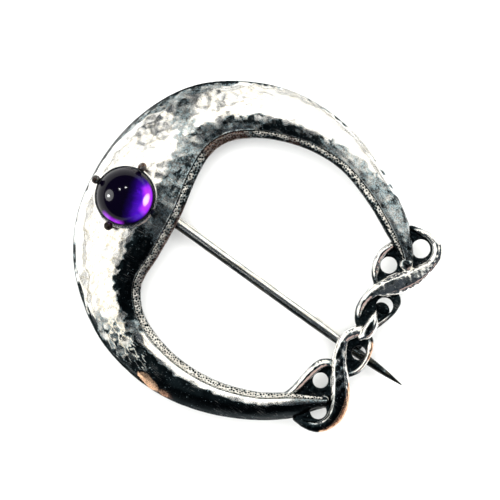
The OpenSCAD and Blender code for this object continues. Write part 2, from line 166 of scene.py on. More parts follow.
STONE_AT = np.array([0.0, -0.25, 5.45])
STONE_R, STONE_H, GIRDLE_H, STONE_ROWS = 3.55, 3.3, 0.55, 36
SEAT_R, SEAT_LIP, SEAT_INNER_R, SEAT_Z, SEAT_FOOT_Z = 3.925, 0.3, 3.0, 5.4, 4.75
CLAW_R, CLAW_BALL_R, CLAW_WIRE_R, CLAW_Z = 4.15, 0.54, 0.4, 6.35
# Direction of each claw in degrees, and the height its wire stands on
CLAW_FEET = ((0, 4.8), (90, 4.3), (180, 2.2), (270, 4.3))

HINGE_AT = np.array([2.5, 0.62, 2.2])
STEM_ANGLE, HINGE_LEAN = math.radians(5.9), math.radians(40)
STEM_R, STEM_ROWS = 0.725, 190
# Along the stem from the hinge, and its radius as a part of the full one
STEM = ((0.0, 0.55), (0.15, 0.95), (0.5, 1.08), (6.6, 1.0), (25.2, 1.0), (29.5, 0.88),
        (33.6, 0.76), (35.0, 0.66), (36.5, 0.48), (37.6, 0.29), (38.55, 0.12), (38.7, 0.03))
BARREL_R, BARREL_L, BARREL_BORE_R, BARREL_EDGE = 1.1, 2.0, 0.3, 0.12
RIVET_R, RIVET_HEAD_R, RIVET_HEAD_H = 0.42, 0.7, 0.23
# The two hinge ears: distance of their inner sides from the middle, thickness, radius, reach down
EAR_FROM, EAR_T, EAR_R, EAR_REACH = 1.06, 0.65, 1.05, (4.7, 2.6)
# The hook: place along the pin, width, thickness, inner radius, middle beside the pin, rounding of
# its upper corner, angle of its tip, place and radius of its foot
HOOK_AT, HOOK_W, HOOK_T, HOOK_R, HOOK_SIDE, HOOK_CORNER = 31.15, 1.75, 0.65, 1.3, 0.1, 0.55
HOOK_END, HOOK_FOOT, HOOK_FOOT_R = math.radians(-108), 5.9, 1.05
# Sides of the turned pieces
SEAT_SIDES, STONE_SIDES, CLAW_SIDES, STEM_SIDES, BARREL_SIDES, RIVET_SIDES = 144, 128, 32, 80, 56, 40
# Radius at which a turned piece closes
TIP_R = 0.02

# The camera looks straight down: width of the picture and pixels to a millimetre at the height of
# the plane, the place under the picture's middle, and how far the picture is turned
PHOTO_PIXELS, PHOTO_PIXELS_PER_MM, PHOTO_CENTRE = 500, 8.15, (16.444, 1.702)
PHOTO_ROLL, CAMERA_AWAY, CAMERA_PLANE, SENSOR_WIDTH = math.radians(30), 400.0, 4.0, 36.0

FLOOR_REACH, LIGHT_AWAY = 3.0, 0.7
SKY = (0.055, 0.068, 0.085, 1.0)
WHITE, WARM, ROSY = (1.0, 1.0, 1.0), (1.0, 0.985, 0.945), (1.0, 0.70, 0.62)
# Lights round the brooch: azimuth, angle from straight above, width and height in degrees,
# radiance, tint, what they show in, and whether they leave the stone out or light it alone
LIGHTS = {
    "softbox_left": (197, 65, 88, 36, 1.42, WARM, "both", "EXCLUDE"),
    "softbox_left_top": (192, 32, 72, 34, 1.42, WARM, "both", "EXCLUDE"),
    "softbox_right": (90, 65, 84, 36, 1.42, WARM, "both", "EXCLUDE"),
    "softbox_right_top": (86, 32, 64, 34, 1.42, WARM, "both", "EXCLUDE"),
    "window": (205, 65, 36, 38, 13.0, WHITE, "shine", "INCLUDE"),
    "window_middle": (207, 67, 9, 12, 110.0, WHITE, "shine", "INCLUDE"),
    "lamp_left": (158, 36, 4, 9, 110.0, WHITE, "shine", "INCLUDE"),
    "lamp_right": (118, 35, 8, 5, 110.0, WHITE, "shine", "INCLUDE"),
    "rosy_card": (-18, 64, 44, 30, 0.45, ROSY, "shine", None),
    "overhead": (90, 2, 80, 80, 2.5, WHITE, "floor", None),
    "key": (70, 40, 36, 36, 1.1, WHITE, "floor", None),
}


# Shapes

def through(rows, t):
    """Points of the smooth curve through the rows of a table."""
    rows = np.asarray(rows, float)
    t = np.clip(np.asarray(t, float), 0, len(rows) - 1)
    k = np.minimum(t.astype(int), len(rows) - 2)
    f = (t - k)[:, None]
    a, b, c, d = (rows[np.clip(k + j, 0, len(rows) - 1)] for j in (-1, 0, 1, 2))
    return 0.5 * (2 * b + (c - a) * f + (2 * a - 5 * b + 4 * c - d) * f ** 2
                  + (3 * b - a - 3 * c + d) * f ** 3)


def part_way(x, start, end):
    """0 up to the start and 1 from the end, in a straight line between."""
    return np.clip((x - start) / (end - start), 0, 1)


def smooth(x, start, end):
    """0 up to the start and 1 from the end, easing in and out."""
    f = part_way(x, start, end)
    return f * f * (3 - 2 * f)


def ridge(x, middle, reach):
    """1 at the middle, fading to both sides over the reach."""
    return np.exp(-((x - middle) / reach) ** 2)


def spot(x, y, middle_x, middle_y, reach_x, reach_y):
    """1 at a place, fading all round it."""
    return np.exp(-((x - middle_x) / reach_x) ** 2 - ((y - middle_y) / reach_y) ** 2)


def placed(points):
    """Points in metres in the part's frame."""
    return (np.asarray(points, float) - CENTRE) * MM


def in_mm(length):
    """A length of the panel in millimetres, as fine as the panel keeps it."""
    return float(np.float32(round(length / MM, 6)))


def tube_faces(rows, columns, flip=False, ring=False):
    """Four sided faces of a tube of rings of points, which may close on itself as a ring."""
    r, c = np.meshgrid(np.arange(rows if ring else rows - 1), np.arange(columns), indexing="ij")
    r, c = r.ravel(), c.ravel()
    here, after, beside = r * columns, (r + 1) % rows * columns, (c + 1) % columns
    faces = np.stack([here + c, here + beside, after + beside, after + c], 1)
    return faces[:, ::-1] if flip else faces


def closed_tube(rows, columns, flip=False):
    """The same faces as lists, with a face over each end."""
    ends = [list(range(columns))[::-1], [(rows - 1) * columns + k for k in range(columns)]]
    faces = [list(f) for f in tube_faces(rows, columns)] + ends
    return [f[::-1] for f in faces] if flip else faces


def normals_of(points, faces):
    """Unit normal at each point of a mesh of four sided faces."""
    p = points[faces]
    n = np.cross(p[:, 2] - p[:, 0], p[:, 3] - p[:, 1])
    out = np.zeros_like(points)
    for k in range(4):
        np.add.at(out, faces[:, k], n)
    return out / np.maximum(np.linalg.norm(out, axis=1), 1e-12)[:, None]


def waves(points, seed, size, count=9):
    """Gentle uneven variation between about -1 and 1, over the given size."""
    rng = np.random.default_rng(seed)
    total = np.zeros(len(points))
    for _ in range(count):
        way = rng.normal(size=3)
        way *= rng.uniform(0.6, 1.7) * 2 * math.pi / (size * np.linalg.norm(way))
        total += np.sin(points @ way + rng.uniform(0, 2 * math.pi))
    return total / math.sqrt(count)


def scattered(points, spacing, seed):
    """Places on a surface that are at least a spacing apart."""
    rng = np.random.default_rng(seed)
    chosen = []
    cells = {}
    for k in rng.integers(0, len(points), TRIES):
        p = points[k]
        cell = tuple((p // spacing).astype(int))
        near = [q for dx in (-1, 0, 1) for dy in (-1, 0, 1) for dz in (-1, 0, 1)
                for q in cells.get((cell[0] + dx, cell[1] + dy, cell[2] + dz), ())]
        if all(np.dot(p - q, p - q) > spacing * spacing for q in near):
            cells.setdefault(cell, []).append(p)
            chosen.append(p)
    return np.array(chosen)


def dents(points, centres, radii, depths):
    """Depth of the deepest and the second deepest round dent over each point, and which is deepest."""
    deepest, second = np.zeros(len(points)), np.zeros(len(points))
    which = np.full(len(points), -1)
    order = np.argsort(points[:, 0])
    xs = points[order, 0]
    for number, (centre, radius, depth) in enumerate(zip(centres, radii, depths)):
        lo, hi = np.searchsorted(xs, (centre[0] - radius, centre[0] + radius))
        near = order[lo:hi]
        away = ((points[near] - centre) ** 2).sum(1) / radius ** 2
        cut = depth * (1 - away)
        second[near] = np.maximum(second[near], np.minimum(deepest[near], cut))
        which[near] = np.where(cut > deepest[near], number, which[near])
        deepest[near] = np.maximum(deepest[near], cut)
    return deepest, second, which


def solid(name, points, faces, finish, marks=None, sharp=50,
          body="brooch", stands_for="brooch_frame"):
    """A finished piece in the part's frame, riding on its body.

    Its marks are values at its points that the finish reads. An edge that turns more than the
    sharp angle, in degrees, isn't smoothed.
    """
    mesh = bpy.data.meshes.new(name)
    mesh.from_pydata(placed(points).tolist(), [], [list(map(int, f)) for f in faces])
    mesh.validate()
    for mark, values in (marks or {}).items():
        layer = mesh.attributes.new(mark, "FLOAT", "POINT")
        layer.data.foreach_set("value", np.asarray(values, np.float32))
    mesh.polygons.foreach_set("use_smooth", [True] * len(mesh.polygons))
    mesh.set_sharp_from_angle(angle=math.radians(sharp))
    mesh.materials.append(finish)
    piece = bpy.data.objects.new(name, mesh)
    bpy.context.scene.collection.objects.link(piece)
    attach(piece, body)
    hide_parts(stands_for)


def joined(parts):
    """Several lists of points and faces as one."""
    points, faces, start = [], [], 0
    for p, f in parts:
        points.append(np.asarray(p, float))
        faces += [[int(i) + start for i in face] for face in f]
        start += len(p)
    return np.concatenate(points), faces


def turned(profile, segments):
    """A profile of radius and height turned round the z axis, with a face over each end."""
    profile = np.asarray(profile, float)
    a = np.arange(segments) * 2 * math.pi / segments
    ring = np.stack([np.cos(a), np.sin(a)], 1)
    points = np.concatenate([np.column_stack([r * ring, np.full(segments, z)]) for r, z in profile])
    return points, closed_tube(len(profile), segments)


def slab(outline, low, high, edge):
    """A flat plate with rounded edges. The outline runs anticlockwise."""
    outline = np.asarray(outline, float)
    before, after = np.roll(outline, 1, 0), np.roll(outline, -1, 0)
    along = after - before
    along /= np.linalg.norm(along, axis=1)[:, None]
    inward = np.column_stack([-along[:, 1], along[:, 0]])
    turns = np.radians([90, 60, 30, 0])
    levels = [(a, low + edge * (1 - math.sin(a))) for a in turns]
    levels += [(a, high - edge * (1 - math.sin(a))) for a in turns[::-1]]
    points = [np.column_stack([outline + inward * edge * (1 - math.cos(a)), np.full(len(outline), z)])
              for a, z in levels]
    return np.concatenate(points), closed_tube(len(levels), len(outline))


def rounded_section(width, thickness, edge):
    """Outline of a strip with rounded edges, centred on its middle."""
    out = []
    for sx, sy, start in ((1, 1, 0), (-1, 1, 90), (-1, -1, 180), (1, -1, 270)):
        for a in np.radians(np.linspace(start, start + 90, 5)):
            out.append((sx * (width / 2 - edge) + edge * math.cos(a),
                        sy * (thickness / 2 - edge) + edge * math.sin(a)))
    return np.array(out)


def swept(path, across, section, scales):
    """A section carried along a flat path. The section's x runs along the fixed direction."""
    path = np.asarray(path, float)
    across = np.asarray(across, float)
    points = []
    for k, p in enumerate(path):
        way = path[min(k + 1, len(path) - 1)] - path[max(k - 1, 0)]
        way = way / np.linalg.norm(way)
        up = np.cross(way, across)
        points.append(p + section[:, :1] * across * scales[k] + section[:, 1:] * up * scales[k])
    return np.concatenate(points), closed_tube(len(path), len(section))


# The domed sheet and its sections

class Band:
    """Rows of the crescent and arms, with what the sections need at each."""

    def __init__(self, rings):
        rows = through(SECTIONS, np.linspace(0, len(SECTIONS) - 1, rings))
        self.outer = rows[:, :2]
        across = rows[:, 2:4] - self.outer
        self.width = np.linalg.norm(across, axis=1)
        self.across = across / self.width[:, None]
        x = self.outer[:, 0]
        self.rim = KNOT_Z * part_way(x, RIM_LIFT_X, KNOT_X)
        rise = (CREST_Z - RIM) * np.minimum(1, self.width / WIDEST) ** 1.25
        self.top = self.rim + RIM + rise + ARM_SWELL * part_way(x, SWELL_X, KNOT_X)
        self.wall = np.maximum(self.rim, self.top - WALL_H)
        # A quarter round on the broad part, flatter on the arms, and boxy at the upper arm's tip
        self.power = 0.5 + 0.5 * part_way(self.width, 11.2, 8.0)
        self.power -= 0.65 * smooth(x, 24.0, 31.0) * (self.outer[:, 1] > 0)
        self.power = self.power[:, None]
        punched, crest_at, self.drop = rows[:, 4:].T
        self.dome = self.width - np.minimum(punched, 0.34 * self.width)
        self.crest = crest_at * self.width
        self.low = self.rim + RIM
        self.foot = np.minimum(RIM_FOOT, 0.28 * self.width)

    def upper(self, s):
        """Height of the outside at distances s from the outer rim, one row of s for each ring."""
        crest, low, top = self.crest[:, None], self.low[:, None], self.top[:, None]
        rise = np.clip(1 - (1 - s / crest) ** 2, 0, 1) ** self.power
        past = np.clip((s - crest) / (self.width[:, None] - crest), 0, 1)
        return np.where(s < crest, low + (top - low) * rise, top - self.drop[:, None] * past ** 2)

    def under(self, s):
        """Height of the hollow under it."""
        crest, foot = self.crest[:, None], self.foot[:, None]
        high, low = self.top[:, None] - SHEET, self.rim[:, None] + 0.12
        rise = np.clip(1 - (1 - (s - foot) / (crest - foot)) ** 2, 0, 1) ** self.power
        return np.where(s < crest, low + (high - low) * rise, high)

    def points(self, s, z):
        """Places of points that lie at distances s from the outer rim and at heights z."""
        flat = self.outer[:, None, :] + self.across[:, None, :] * s[:, :, None]
        return np.concatenate([flat, z[:, :, None]], 2)


def arc_columns(count):
    """Shares from 0 to 1 that lie close together at 0, where the sheet is steep."""
    return 1 - np.cos(np.linspace(0, math.pi / 2, count))


def dome_sections(band):
    """Distances from the outer rim and heights of each section's points, the outside ones first,
    and how many of them lie outside."""
    crest, dome, foot, rim, top = (
        k[:, None] for k in (band.crest, band.dome, band.foot, band.rim, band.top))
    shoulder_end = dome - DOME_EDGE
    shoulder = crest + (shoulder_end - crest) * np.linspace(0, 1, SHOULDER_POINTS)[1:]
    s_top = np.concatenate([crest * arc_columns(SLOPE_POINTS), shoulder], 1)
    z_top = band.upper(s_top)
    turn = np.radians([25, 50, 75, 90])
    s_edge = shoulder_end + DOME_EDGE * np.sin(turn)
    z_edge = z_top[:, -1:] - DOME_EDGE * (1 - np.cos(turn))
    s_down = dome * np.ones(4)
    z_down = z_edge[:, -1:] + (top - SHEET - z_edge[:, -1:]) * np.array([0.25, 0.5, 0.75, 1.0])
    s_under = np.concatenate([
        crest + (dome - crest) * np.linspace(1, 0, 10)[1:],
        foot + (crest - foot) * arc_columns(HOLLOW_POINTS)[::-1][1:],
    ], 1)
    turn = np.radians([0, 30, 60, 90])
    s_rim = np.concatenate([foot * 0.8, RIM_ROUND * (1 - np.sin(turn)) * np.ones_like(rim)], 1)
    z_rim = np.concatenate([rim, rim + RIM_ROUND * (1 - np.cos(turn))], 1)
    s_wall = np.zeros((len(rim), 2))
    z_wall = rim + np.array([0.40, 0.56])
    s = np.concatenate([s_top, s_edge, s_down, s_under, s_rim, s_wall], 1)
    z = np.concatenate([z_top, z_edge, z_down, band.under(s_under), z_rim, z_wall], 1)
    return s, z, s_top.shape[1]


def crescent_shape(sizes):
    """The hammered dome with its hollow back, up to the punched band."""
    band = Band(DOME_RINGS)
    s, z, outside_points = dome_sections(band)
    rings, columns = s.shape
    points = band.points(s, z).reshape(-1, 3)
    normals = normals_of(points, tube_faces(rings, columns, flip=True))
    outside = np.tile(np.arange(columns) < outside_points, rings)
    x, y = points[:, 0], points[:, 1]

    # Hammer marks, deepest on the broad part and at the lower left
    hammered = 0.2 + 0.8 * (1 - smooth(x, np.where(y < 0, 10.0, 6.5), np.where(y < 0, 16.0, 12.5)))
    hammered = hammered * (1 + 0.9 * spot(x, y, 7.0, -17.0, 5.0, 3.5))
    radius, depth = in_mm(sizes.hammer_mark), in_mm(sizes.hammer_depth)
    rng = np.random.default_rng(11)
    places = scattered(points[outside], radius * 0.8, seed=12)
    radii = radius * rng.uniform(0.75, 1.3, len(places))
    depths = depth * rng.uniform(0.6, 1.35, len(places)) * (radii / radius) ** 2
    cut, second, which = dents(points, places, radii, depths)
    cell = np.append(rng.random(len(places)), 0.5)[which]
    lower_left = spot(x, y, 2.5, -14.5, 4.0, 3.5)
    # Painted shading along the edges between hammer marks
    crease = ridge(cut, second, 0.007 + 0.008 * lower_left) * smooth(second, 0.002, 0.01) * hammered

    # The surface moved in and out, and nicks in the outer rim
    from_edge = np.minimum(s, band.dome[:, None] - s).ravel()
    uneven = 0.018 * waves(points, seed=5, size=3.2) + 0.008 * waves(points, seed=6, size=1.3)
    push = np.where(outside, uneven, 0.01 * waves(points, seed=7, size=2.4))
    push = push * np.where(outside, smooth(from_edge, 0.0, 0.5), 1)
    push = push - cut * hammered * np.where(outside, smooth(from_edge, -0.1, 0.25), 0)
    moved = points + normals * push[:, None]
    notch = np.clip(waves(points, seed=8, size=1.1) + 0.5 * lower_left, 0, 1.2) * outside
    notch = notch * (1 - smooth(s.ravel(), 0.15, 0.45 + 0.5 * lower_left))
    moved[:, :2] -= (0.05 + 0.07 * lower_left * notch)[:, None] * notch[:, None] * normals[:, :2]
    moved[:, 2] = np.maximum(moved[:, 2], 0.0)

    share = (s / band.width[:, None]).ravel()
    patina, cells = patina_and_painted_shade_of_crescent(points, share, s.ravel(), outside, notch, cell)
    # Painted light along those edges in the dark cells, and painted yellow shading on them and on the
    # bright cells
    patina = np.clip(patina - 0.55 * crease * cells, 0, 1)
    by_slate = 1.6 * ridge(share, 0.5, 0.13) * (y < 3) * (y > -14)
    painted_dent_and_cell_shading = np.clip(crease * (1 + by_slate) + 0.75 * cells, 0, 1) * outside
    marks = {"patina": patina, "crease": painted_dent_and_cell_shading, "copper": 0 * x, "brown": 0 * x}
    for mark, patch_x, patch_y, half, strength in PATCHES:
        worn = strength * spot(x, y, patch_x, patch_y, half, PATCH_HALF_WIDTH) * outside
        marks[mark] = np.clip(marks[mark] + worn, 0, 1)
    return moved, closed_tube(rings, columns, flip=True), marks


def patina_and_painted_shade_of_crescent(points, share, s, outside, notch, cell):
    """How dark the silver is painted, as sulphide and as painted shade where it would mirror the dark, and
    where the hammer marks are dark cells between bright ones.
    """
    x, y = points[:, 0], points[:, 1]
    upper = y > 0
    ragged = 0.035 * waves(points, seed=9, size=1.5) + 0.10 * (cell - 0.5)

    # The inner slope, from the slate crest to the dark beside the band: painted shade, mottled like
    # sulphide
    start = 0.62 - 0.58 * part_way(x, 17.0, 29.5) * upper - 0.2 * smooth(x, 28.0, 30.5) * upper
    inner = smooth(share + ragged, start - 0.04, start + 0.06)
    by_band = smooth(share + ragged, 0.66, 0.80)
    along_arm = smooth(x, 15.0, 22.0) * upper
    arm_end = smooth(x, 22.0, 26.0) * upper
    by_hole = 0.56 + (0.36 - 0.26 * along_arm) * by_band
    depth = np.where(x < 10, 0.64 + 0.36 * smooth(-y, 1.5, 5.0), by_hole)
    mottle = np.where(y > -6, 0.46 - 0.3 * by_band, 0.1) * (1 - 0.6 * smooth(x, 7.0, 10.0) * upper)
    depth = depth + (cell - 0.5) * mottle + 0.07 * waves(points, seed=13, size=1.0) + 0.17 * arm_end
    # Painted shade over the upper crest
    crest_dark = smooth(x + 1.8 * smooth(y, 10.0, 13.0), 6.5, 9.0) * upper * (1 - by_band)
    depth = depth + 0.26 * crest_dark * (1 - along_arm) - 0.06 * along_arm

    # The lower arm, painted black as painted shade, with a bright strip along its inner side
    lower = smooth(-y + 6 * ragged + 5 * part_way(x, 20.0, 31.0), 12.0, 15.0)
    lower = lower * smooth(x + 16 * ragged, 5.0, 10.5)
    strip = 0.60 - 0.12 * part_way(x, 19.0, 28.0)
    black = 1.1 * lower * (1 - smooth(share + 0.6 * ragged, strip, strip + 0.12))
    arm_tip = 0.7 * smooth(x, 28.6, 30.8) * (y < 0) * smooth(share, 0.3, 0.5)

    # The lower left, where the dark comes in from the rim and breaks up into cells
    bottom = (1 - smooth(x, 12.0, 15.0)) * (y < -11)
    reach = 0.10 + 0.26 * part_way(x, 3.0, 9.0)
    near_rim = 0.95 * smooth(x, 2.5, 4.5) * bottom * (0.85 + 0.6 * (cell - 0.5))
    near_rim = near_rim * (1 - smooth(share + 2 * ragged, reach, reach + 0.12))
    cells = smooth(x, 4.3, 7.3) * bottom * ridge(share, 0.35, 0.25) * (1 - inner)

    # Painted shade across the saddle on the upper left, and a dark line along the outer rim
    stain = np.zeros(len(points))
    for rows in PAINTED_SADDLE_AND_RIM_DARK:
        away, half, strength = strand_field(np.array(rows), x, y)
        stain = np.maximum(stain, strength * (1 - smooth(away / half + 6 * ragged, 0.75, 1.15)))
    stain = stain * (0.74 + 0.36 * (cell - 0.5) + 0.07 * waves(points, seed=14, size=0.8))
    line_end = 0.20 + 0.15 * np.clip(waves(points, seed=10, size=2.4), 0, 1)
    rim = 0.75 * (1 - smooth(s, 0.05, line_end)) * (1 - 0.8 * smooth(x, 7.0, 13.0) * upper)
    broken = smooth(-y, 7.4, 9.0) * (x < 3.5) * np.clip(waves(points, seed=15, size=2.0) + 0.7, 0, 1)
    rim = np.maximum(rim, 0.9 * broken * (1 - smooth(s, 0.30, 0.50)))

    out = np.maximum(depth * inner * (1 - lower), stain)
    out = out + np.maximum(np.maximum(black, near_rim), arm_tip) + rim + 0.7 * notch
    celled = np.maximum(out * (1 - 0.15 * cells), cells * (0.52 + 0.5 * cell))
    out = np.where(cell > 0.2, celled, out - 0.3 * cells)
    return np.where(outside, np.clip(out, 0, 1), 0.6), cells * outside


def band_sections(band):
    """Distances from the outer rim and heights of the band's points, the punched ones first, and
    how many of them may be punched."""
    width, dome, top, wall, foot = (
        k[:, None] for k in (band.width, band.dome, band.top, band.wall, band.foot))
    across, start, floor = width - dome, dome + GROOVE, top - SHEET
    edge_r = np.minimum(0.15, 0.35 * across)
    q = np.linspace(0, 1, 20)
    s_top = start + (width - edge_r - start) * q
    crown = 0.05 * np.sin(math.pi * q) * np.minimum(1, across)
    z_top = band.upper(s_top) - 0.05 + crown - 0.10 * (1 - smooth(s_top - start, 0, 0.14))
    turn = np.radians([18, 36, 54, 72, 90])
    s_edge = width - edge_r + edge_r * np.sin(turn)
    z_edge = z_top[:, -1:] - edge_r * (1 - np.cos(turn))
    s_wall = width * np.ones(5)
    z_wall = z_edge[:, -1:] + (wall + 0.2 - z_edge[:, -1:]) * np.linspace(0, 1, 7)[1:-1]
    s_low = width - np.array([0.0, 0.06, 0.2])
    z_low = wall + np.array([0.2, 0.06, 0.0])
    heel = np.minimum(width - foot, dome - 0.02)
    s_back = np.concatenate([width - foot + 0.15, width - foot, heel, heel + 0.02, start], 1)
    z_back = np.concatenate([wall, wall + 0.12, floor - 0.01, floor + 0.3, z_top[:, :1] - 0.3], 1)
    s = np.concatenate([s_top, s_edge, s_wall, s_low, s_back], 1)
    z = np.concatenate([z_top, z_edge, z_wall, z_low, z_back], 1)
    return s, z, s_top.shape[1] + s_edge.shape[1] + 1


def band_shape(sizes):
    """The punched band along the inner edge, with the wall under it."""
    band = Band(BAND_RINGS)
    s, z, upper_points = band_sections(band)
    rings, columns = s.shape
    points = band.points(s, z).reshape(-1, 3)
    normals = normals_of(points, tube_faces(rings, columns, flip=True))
    upper = np.tile(np.arange(columns) < upper_points, rings)

    rng = np.random.default_rng(21)
    punch_depth = in_mm(sizes.punch_depth)
    centres = scattered(points[upper], in_mm(sizes.punch_spacing), seed=22)
    radii = in_mm(sizes.punch_size) * rng.uniform(0.75, 1.2, len(centres))
    depths = punch_depth * rng.uniform(0.5, 1.2, len(centres))
    cut, _, _ = dents(points, centres, radii, depths)
    uneven = 0.012 * waves(points, seed=23, size=0.8)
    push = np.where(upper, -cut + uneven, 0.008 * waves(points, seed=24, size=1.2))

    # Dark in the groove, in the dots and along the inner edge, and brown in places
    x, y = points[:, 0], points[:, 1]
    start, width = band.dome[:, None] + GROOVE, band.width[:, None]
    over_band = ((s - start) / (width - start)).ravel()
    groove = 1 - smooth(np.abs(s - start).ravel(), 0.02, 0.13)
    edge = smooth(over_band, 0.45, 0.95)
    lower = smooth(-y, 9.0, 13.0) * smooth(x, 7.0, 12.0)
    corner = spot(x, y, 7.2, 11.6, 2.6, 2.6)
    brown = 1.8 * corner + 0.6 * spot(x, y, 14.5, 15.9, 1.6, 0.9)
    brown += 0.75 * (1 - smooth(np.abs(y + 3.0), 4.0, 8.0)) * (x < 9.5) * edge
    dots = smooth(cut / punch_depth, 0.12, 0.55)
    dark = 0.7 * groove * (1 - 0.75 * lower) + 0.9 * groove * corner + dots
    dark += (0.45 - 0.05 * lower) * edge + 0.12 * smooth(x, 24.0, 28.0) * (y > 0)
    dark += 0.55 * smooth(x, 8.0, 12.0) * (y > 0) * smooth(over_band, 0.35, 0.75)
    by_stone = (x < 9.5) * (0.18 + 0.24 * smooth(y, -3.0, 3.0))
    dark += (0.35 * np.clip(waves(points, seed=25, size=0.9), -0.6, 1) + by_stone) * (1 - lower)
    dark *= 1 - 0.75 * lower * (1 - smooth(over_band, 0.15, 0.5))
    marks = {
        "patina": np.clip(dark + np.where(upper, 0.0, 0.6), 0, 1),
        "brown": np.clip(brown, 0, 1),
    }
    return points + normals * push[:, None], closed_tube(rings, columns, flip=True), marks


# The knot, as a field of distances

def strand_field(rows, x, y, steps=6):
    """For each point: distance to the strand's middle line, and the row's last two values there."""
    line = through(rows, np.linspace(0, len(rows) - 1, (len(rows) - 1) * steps + 1))
    best = np.full(x.shape, 1e9)
    half = np.ones(x.shape)
    height = np.zeros(x.shape)
    for a, b in zip(line[:-1], line[1:]):
        way = b[:2] - a[:2]
        t = np.clip(((x - a[0]) * way[0] + (y - a[1]) * way[1]) / (way @ way), 0, 1)
        away = np.hypot(x - a[0] - t * way[0], y - a[1] - t * way[1])
        near = away < best
        best = np.where(near, away, best)
        half = np.where(near, a[2] + t * (b[2] - a[2]), half)
        height = np.where(near, a[3] + t * (b[3] - a[3]), height)
    return best, half, height


def strap_top(away, half, height):
    """Height of a bevelled strap: a nearly flat top, narrow on thin straps, between two bevels."""
    q = away / half
    flat = 0.24 + 0.32 * smooth(half, 0.5, 0.85)
    crown = 0.04 * (np.minimum(q, flat) / flat) ** 2
    bevel = (0.34 * half + 0.06) * np.clip((q - flat) / (1 - flat), 0, 1.5)
    return height - crown - bevel


def inside_polygon(x, y, outline):
    """Which points lie inside a closed outline."""
    inside = np.zeros(x.shape, bool)
    for (x1, y1), (x2, y2) in zip(outline, np.roll(outline, -1, 0)):
        crosses = (y1 > y) != (y2 > y)
        with np.errstate(divide="ignore", invalid="ignore"):
            at = (x2 - x1) * (y - y1) / (y2 - y1) + x1
        inside ^= crosses & (x < at)
    return inside


def rounded_edge(a, b, reach):
    """The greater of two distances, with the edge between them rounded."""
    near = np.clip(1 - np.abs(a - b) / reach, 0, 1)
    return np.maximum(a, b) + near ** 2 * reach / 4


def knot_field(step):
    """Distance field of the whole knot on a grid: negative inside the silver."""
    along_x, along_y, high = KNOT_SPACE
    xs, ys = np.arange(*along_x, step), np.arange(*along_y, step)
    zs = np.arange(KNOT_Z - 3 * step, KNOT_Z + high, step)
    x, y = np.meshgrid(xs, ys, indexing="ij")
    solids = []
    for rows in (STRAND_A, STRAND_B, LEAF):
        away, half, height = strand_field(rows, x, y, 18)
        solids.append((away - half, strap_top(away, half, height)))
    for tx, ty, r, height in TONGUES:
        away = np.hypot(x - tx, y - ty)
        solids.append((away - r, height - 0.25 * np.clip(away / r, 0, 1.5) ** 2))
    ground = np.zeros(x.shape, bool)
    for a0, a1, b0, b1 in GROUND:
        a = through(STRAND_A, np.linspace(a0, a1, 40))[:, :2]
        b = through(STRAND_B, np.linspace(b0, b1, 40))[:, :2]
        ground |= inside_polygon(x, y, np.concatenate([a, b[::-1]]))
    level = np.stack([x.ravel(), y.ravel(), 0 * x.ravel()], 1)
    grain = 0.035 * waves(level, seed=31, size=0.55, count=14).reshape(x.shape)
    strands = np.minimum(solids[0][0], solids[1][0])
    solids.append((np.where(ground, -0.4, np.maximum(strands, 0.05)), GROUND_TOP + grain))

    holes = np.full(x.shape, 1e9)
    for hx, hy, d in HOLES:
        holes = np.minimum(holes, np.hypot(x - hx, y - hy) - d / 2)
    z = (zs - KNOT_Z)[None, None, :]
    field = np.full((*x.shape, len(zs)), 1e9, np.float32)
    for side, top in solids:
        gx, gy = np.gradient(np.where(np.abs(top) < 5, top, 0), step)
        slope = np.sqrt(1 + np.clip(gx ** 2 + gy ** 2, 0, 6))
        over = (z - top[:, :, None]) / slope[:, :, None]
        field = np.minimum(field, rounded_edge(side[:, :, None], over, 0.2))
    field = np.maximum(field, -z)
    rim = np.clip(z - (GROUND_TOP - 0.12), 0, 1)
    field = np.maximum(field, -(holes[:, :, None] - 0.6 * rim * (z < GROUND_TOP + 0.2)))
    return xs, ys, zs, without_pinches(field)


def without_pinches(field):
    """The field with corners filled where two parts of the silver would meet in a bare edge."""
    for _ in range(12):
        inside = field < 0
        fill = np.zeros(field.shape, bool)
        for u, v in ((0, 1), (0, 2), (1, 2)):
            corner = {}
            for i, j in ((0, 0), (0, 1), (1, 0), (1, 1)):
                cut = [slice(None)] * 3
                cut[u] = slice(i, field.shape[u] - 1 + i)
                cut[v] = slice(j, field.shape[v] - 1 + j)
                corner[i, j] = tuple(cut)
            a, b, c, d = (inside[corner[k]] for k in ((0, 0), (1, 1), (0, 1), (1, 0)))
            fill[corner[0, 1]] |= a & b & ~c & ~d
            fill[corner[0, 0]] |= c & d & ~a & ~b
        if not fill.any():
            break
        field[fill] = -0.001
    return field


